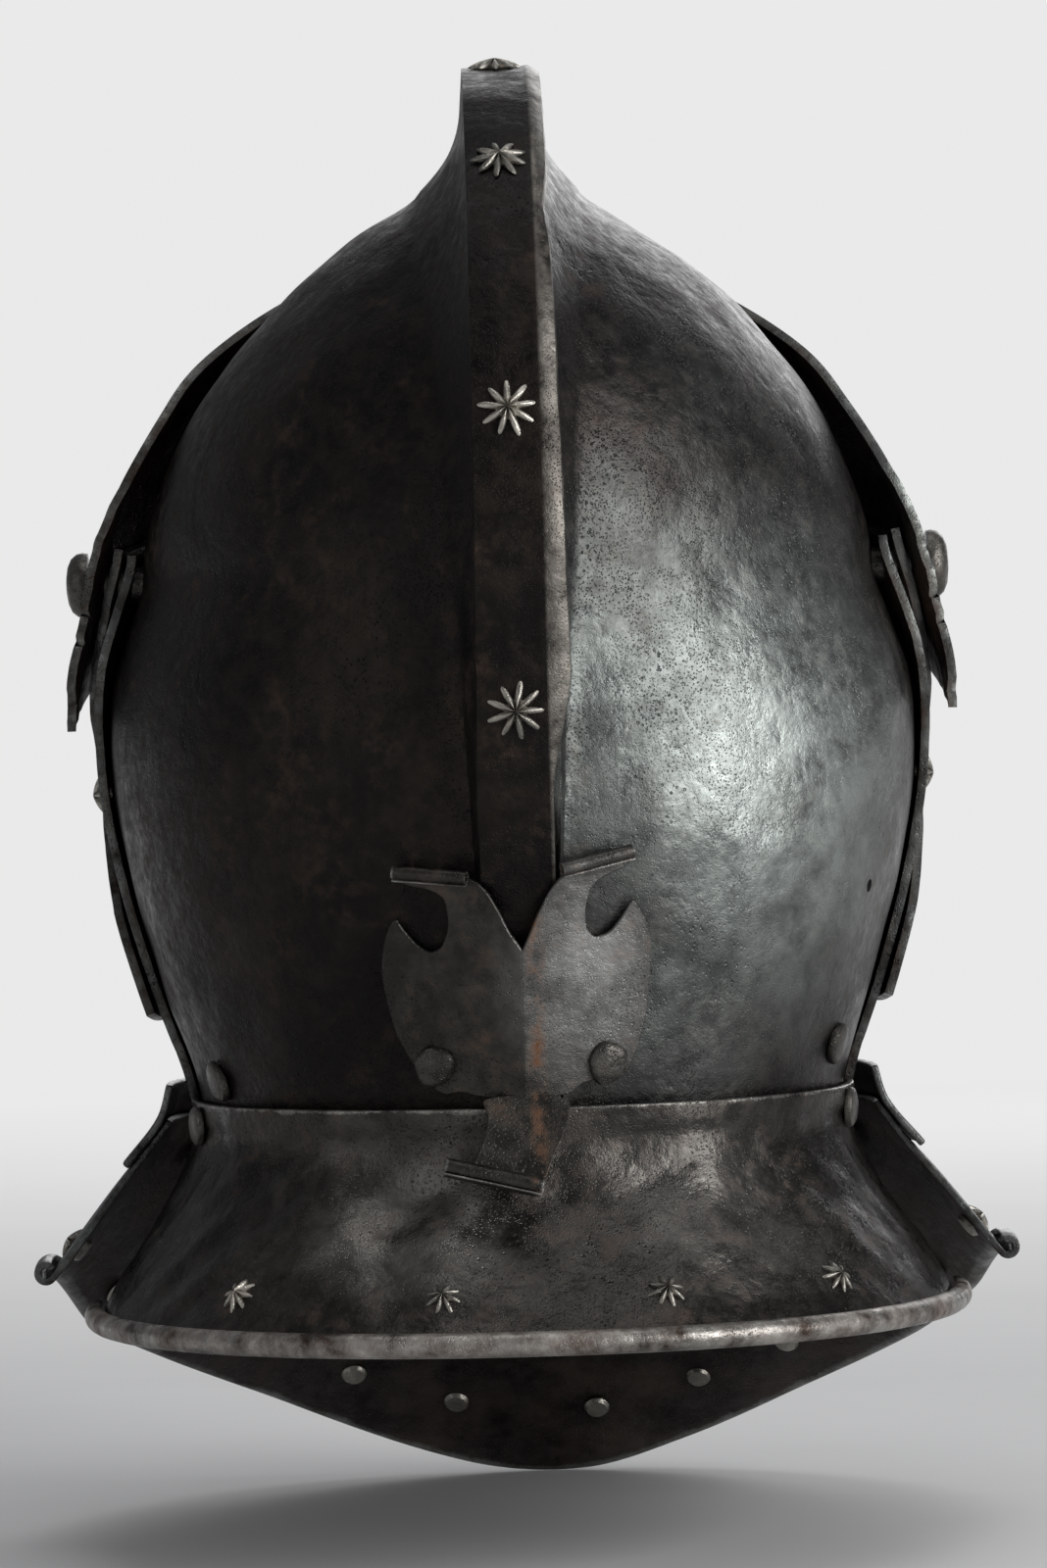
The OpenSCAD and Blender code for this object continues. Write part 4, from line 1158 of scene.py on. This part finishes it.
def drawn_in(pts, depth):
    """The outline moved inwards by a small depth."""
    before = pts - np.roll(pts, 1, 0)
    after = np.roll(pts, -1, 0) - pts
    area = 0.5 * np.sum(pts[:, 0] * np.roll(pts[:, 1], -1) - np.roll(pts[:, 0], -1) * pts[:, 1])
    along = unit(unit(before) + unit(after))
    inward = np.stack([-along[:, 1], along[:, 0]], 1) * np.sign(area)
    return pts + depth * inward


def slab(m, outline, side):
    """A flat sheet with eased edges, as thick as the holder's sheet."""
    pts = np.array(rounded(outline, 2))
    keep = np.linalg.norm(pts - np.roll(pts, 1, 0), axis=1) > 0.05
    pts = pts[keep]
    ease = 0.25
    half = HOLDER_T / 2
    rings = []
    for depth, y in ((ease, -half), (0, ease - half), (0, half - ease), (ease, half)):
        rings.append([tuple(m @ Vector((side * x, y, z))) for x, z in drawn_in(pts, depth)])
    obj = solid("slab", rings, holder_mat)
    obj.data.set_sharp_from_angle(angle=math.radians(30))
    return obj


SCROLL_ROWS = 6
SCROLL_STEPS = 48
SCROLL_T = 0.55


def scroll(m, x0, z0, x1, z1, r):
    """A rolled end: a sheet wound about one turn and a third."""
    w = math.hypot(x1 - x0, z1 - z0)
    tilt = math.degrees(math.atan2(z1 - z0, x1 - x0))
    m = m @ Matrix.Translation((x0, 0, z0)) @ rot("Y", 90 - tilt)
    outer, inner = [], []
    for i in range(SCROLL_ROWS + 1):
        row_o, row_i = [], []
        for j in range(SCROLL_STEPS + 1):
            t = math.radians(-30 + 430 * j / SCROLL_STEPS)
            ro = r - 0.75 * j / SCROLL_STEPS * (r - HOLDER_T) * 0.9
            ri = ro - SCROLL_T
            x = w * i / SCROLL_ROWS
            row_o.append(tuple(m @ Vector((ro * math.cos(t), ro * math.sin(t), x))))
            row_i.append(tuple(m @ Vector((ri * math.cos(t), ri * math.sin(t), x))))
        outer.append(row_o)
        inner.append(row_i)
    return sheet_mesh("scroll", np.array(outer), np.array(inner), holder_mat, 2.5, 0.15)


parts = []
wing_r = AT_CREASE @ rot("Z", WING_TURN)
wing_l = AT_CREASE @ rot("Z", -WING_TURN)
parts.append(slab(wing_r, RIGHT_WING, 1))
parts.append(scroll(wing_r @ Matrix.Translation((0, -1.2, 0)), 10, -73, 28, -70.4, 2.1))
parts.append(slab(wing_l, LEFT_WING, -1))
parts.append(scroll(wing_l @ Matrix.Translation((0, -1.2, 0)), -31.5, -74.5, -13, -74.8, 2.1))
at_tongue = AT_CREASE @ Matrix.Translation((0, 0, HOLDER_FOOT)) @ rot("X", -HOLDER_TILT - 24)
parts.append(slab(at_tongue, TONGUE, 1))
parts.append(scroll(at_tongue @ Matrix.Translation((0, -1.6, 0)), -19.5, -17, 3.5, -23, 2.7))
crease_rod = [(CORE, 0), (0.6, 0), (0.6, 37), (CORE, 37)]
at_foot = AT_CREASE @ Matrix.Translation((0, 0, HOLDER_FOOT))
parts.append(round_head(at_foot, crease_rod, holder_mat, 0, 16, 0))
stand_in(join("plume_holder_sheet", parts), "skull", "plume_holder")

parts = []
for s, x in ((-1, 22.5), (1, 20.5)):
    m = AT_CREASE @ rot("Z", s * WING_TURN) @ Matrix.Translation((s * x, 0, HOLDER_RIVET_Z)) @ rot("X", 90)
    parts += rivet(m, FLAT, HOLDER_T / 2 + 0.1, 10, 60 + s, wobble=0.06)
stand_in(join("holder_rivets", parts), "skull", "plume_holder_rivets")

# ---- Camera, light and floor ----

CAMERA_DISTANCE = 1.5
CAMERA_AZIMUTH = 0.6
CAMERA_TILT = 1.6

centre = Vector((0.0025, 0, -0.0535))
azimuth = math.radians(CAMERA_AZIMUTH)
where = centre + CAMERA_DISTANCE * Vector((-math.sin(azimuth), -math.cos(azimuth), 0))
look = (centre - where).normalized()
tilt = math.radians(CAMERA_TILT)
right = look.cross(Vector((0, 0, 1))).normalized()
up = right.cross(look).normalized()
up2 = (up * math.cos(tilt) + right * math.sin(tilt)).normalized()
right2 = look.cross(up2).normalized()
cam_data = bpy.data.cameras.new("camera")
cam = placed("camera", cam_data)
m = Matrix((right2, up2, -look)).transposed().to_4x4()
m.translation = where
cam.matrix_world = m
cam_data.sensor_fit = "AUTO"
cam_data.sensor_width = 36
cam_data.lens = 135
cam_data.clip_end = 100
bpy.context.scene.camera = cam

PALE = rgb(0.82, 0.82, 0.82)
LIT_POINT = (0, 0, -0.06)


def lamp(name, place, size, power, tall=None):
    """A rectangular lamp in white, turned to the helmet's middle."""
    data = bpy.data.lights.new(name, "AREA")
    data.shape = "RECTANGLE"
    data.size = size
    data.size_y = tall or size
    data.energy = power
    obj = placed(name, data)
    d = (Vector(LIT_POINT) - Vector(place)).normalized()
    obj.matrix_world = Matrix.Translation(place) @ d.to_track_quat("-Z", "Y").to_matrix().to_4x4()


lamp("key", (1.5, -1.15, 0.3), 1.2, 38, tall=1.7)
lamp("fill", (-1.6, -1.3, 0.5), 1.2, 3.5)
lamp("top", (0.1, -0.2, 1.9), 1.3, 8)
lamp("front", (0.4, 1.9, 0.7), 1.5, 16)

world = bpy.data.worlds.new("studio")
bpy.context.scene.world = world
world.use_nodes = True
wt = world.node_tree
wt.nodes.clear()
w_out = wt.nodes.new("ShaderNodeOutputWorld")
w_mix = wt.nodes.new("ShaderNodeMixShader")
w_path = wt.nodes.new("ShaderNodeLightPath")
w_cam = wt.nodes.new("ShaderNodeBackground")
w_cam.inputs["Color"].default_value = PALE
w_cam.inputs["Strength"].default_value = 1.0
w_amb = wt.nodes.new("ShaderNodeBackground")
w_amb.inputs["Color"].default_value = rgb(0.8, 0.82, 0.85)
w_amb.inputs["Strength"].default_value = 0.22
wt.links.new(w_path.outputs["Is Camera Ray"], w_mix.inputs["Fac"])
wt.links.new(w_amb.outputs["Background"], w_mix.inputs[1])
wt.links.new(w_cam.outputs["Background"], w_mix.inputs[2])
wt.links.new(w_mix.outputs["Shader"], w_out.inputs["Surface"])

FLOOR_HALF = 12
floor_z = cad_box[0][2] - 0.0005
corners = [(x * FLOOR_HALF, y * FLOOR_HALF, floor_z) for x, y in ((-1, -1), (1, -1), (1, 1), (-1, 1))]
mesh = bpy.data.meshes.new("floor")
mesh.from_pydata(corners, [], [(0, 1, 2, 3)])
floor = placed("floor", mesh)
t = Nodes("pale_floor")
flat = t.add("ShaderNodeBsdfDiffuse")
t.put(flat.inputs["Color"], t.mix(t.noise(9, 3), rgb(0.7, 0.7, 0.7), rgb(0.76, 0.76, 0.76)))
glow = t.add("ShaderNodeEmission")
glow.inputs["Color"].default_value = PALE
length = t.add("ShaderNodeVectorMath", operation="LENGTH")
t.put(length.inputs[0], t.coord)
blend = t.add("ShaderNodeMixShader")
t.put(blend.inputs["Fac"], t.range(length.outputs["Value"], 0.5, 2.2))
t.put(blend.inputs[1], flat.outputs["BSDF"])
t.put(blend.inputs[2], glow.outputs["Emission"])
t.put(t.out.inputs["Surface"], blend.outputs["Shader"])
mesh.materials.append(t.mat)

bpy.context.scene.view_settings.view_transform = "Standard"
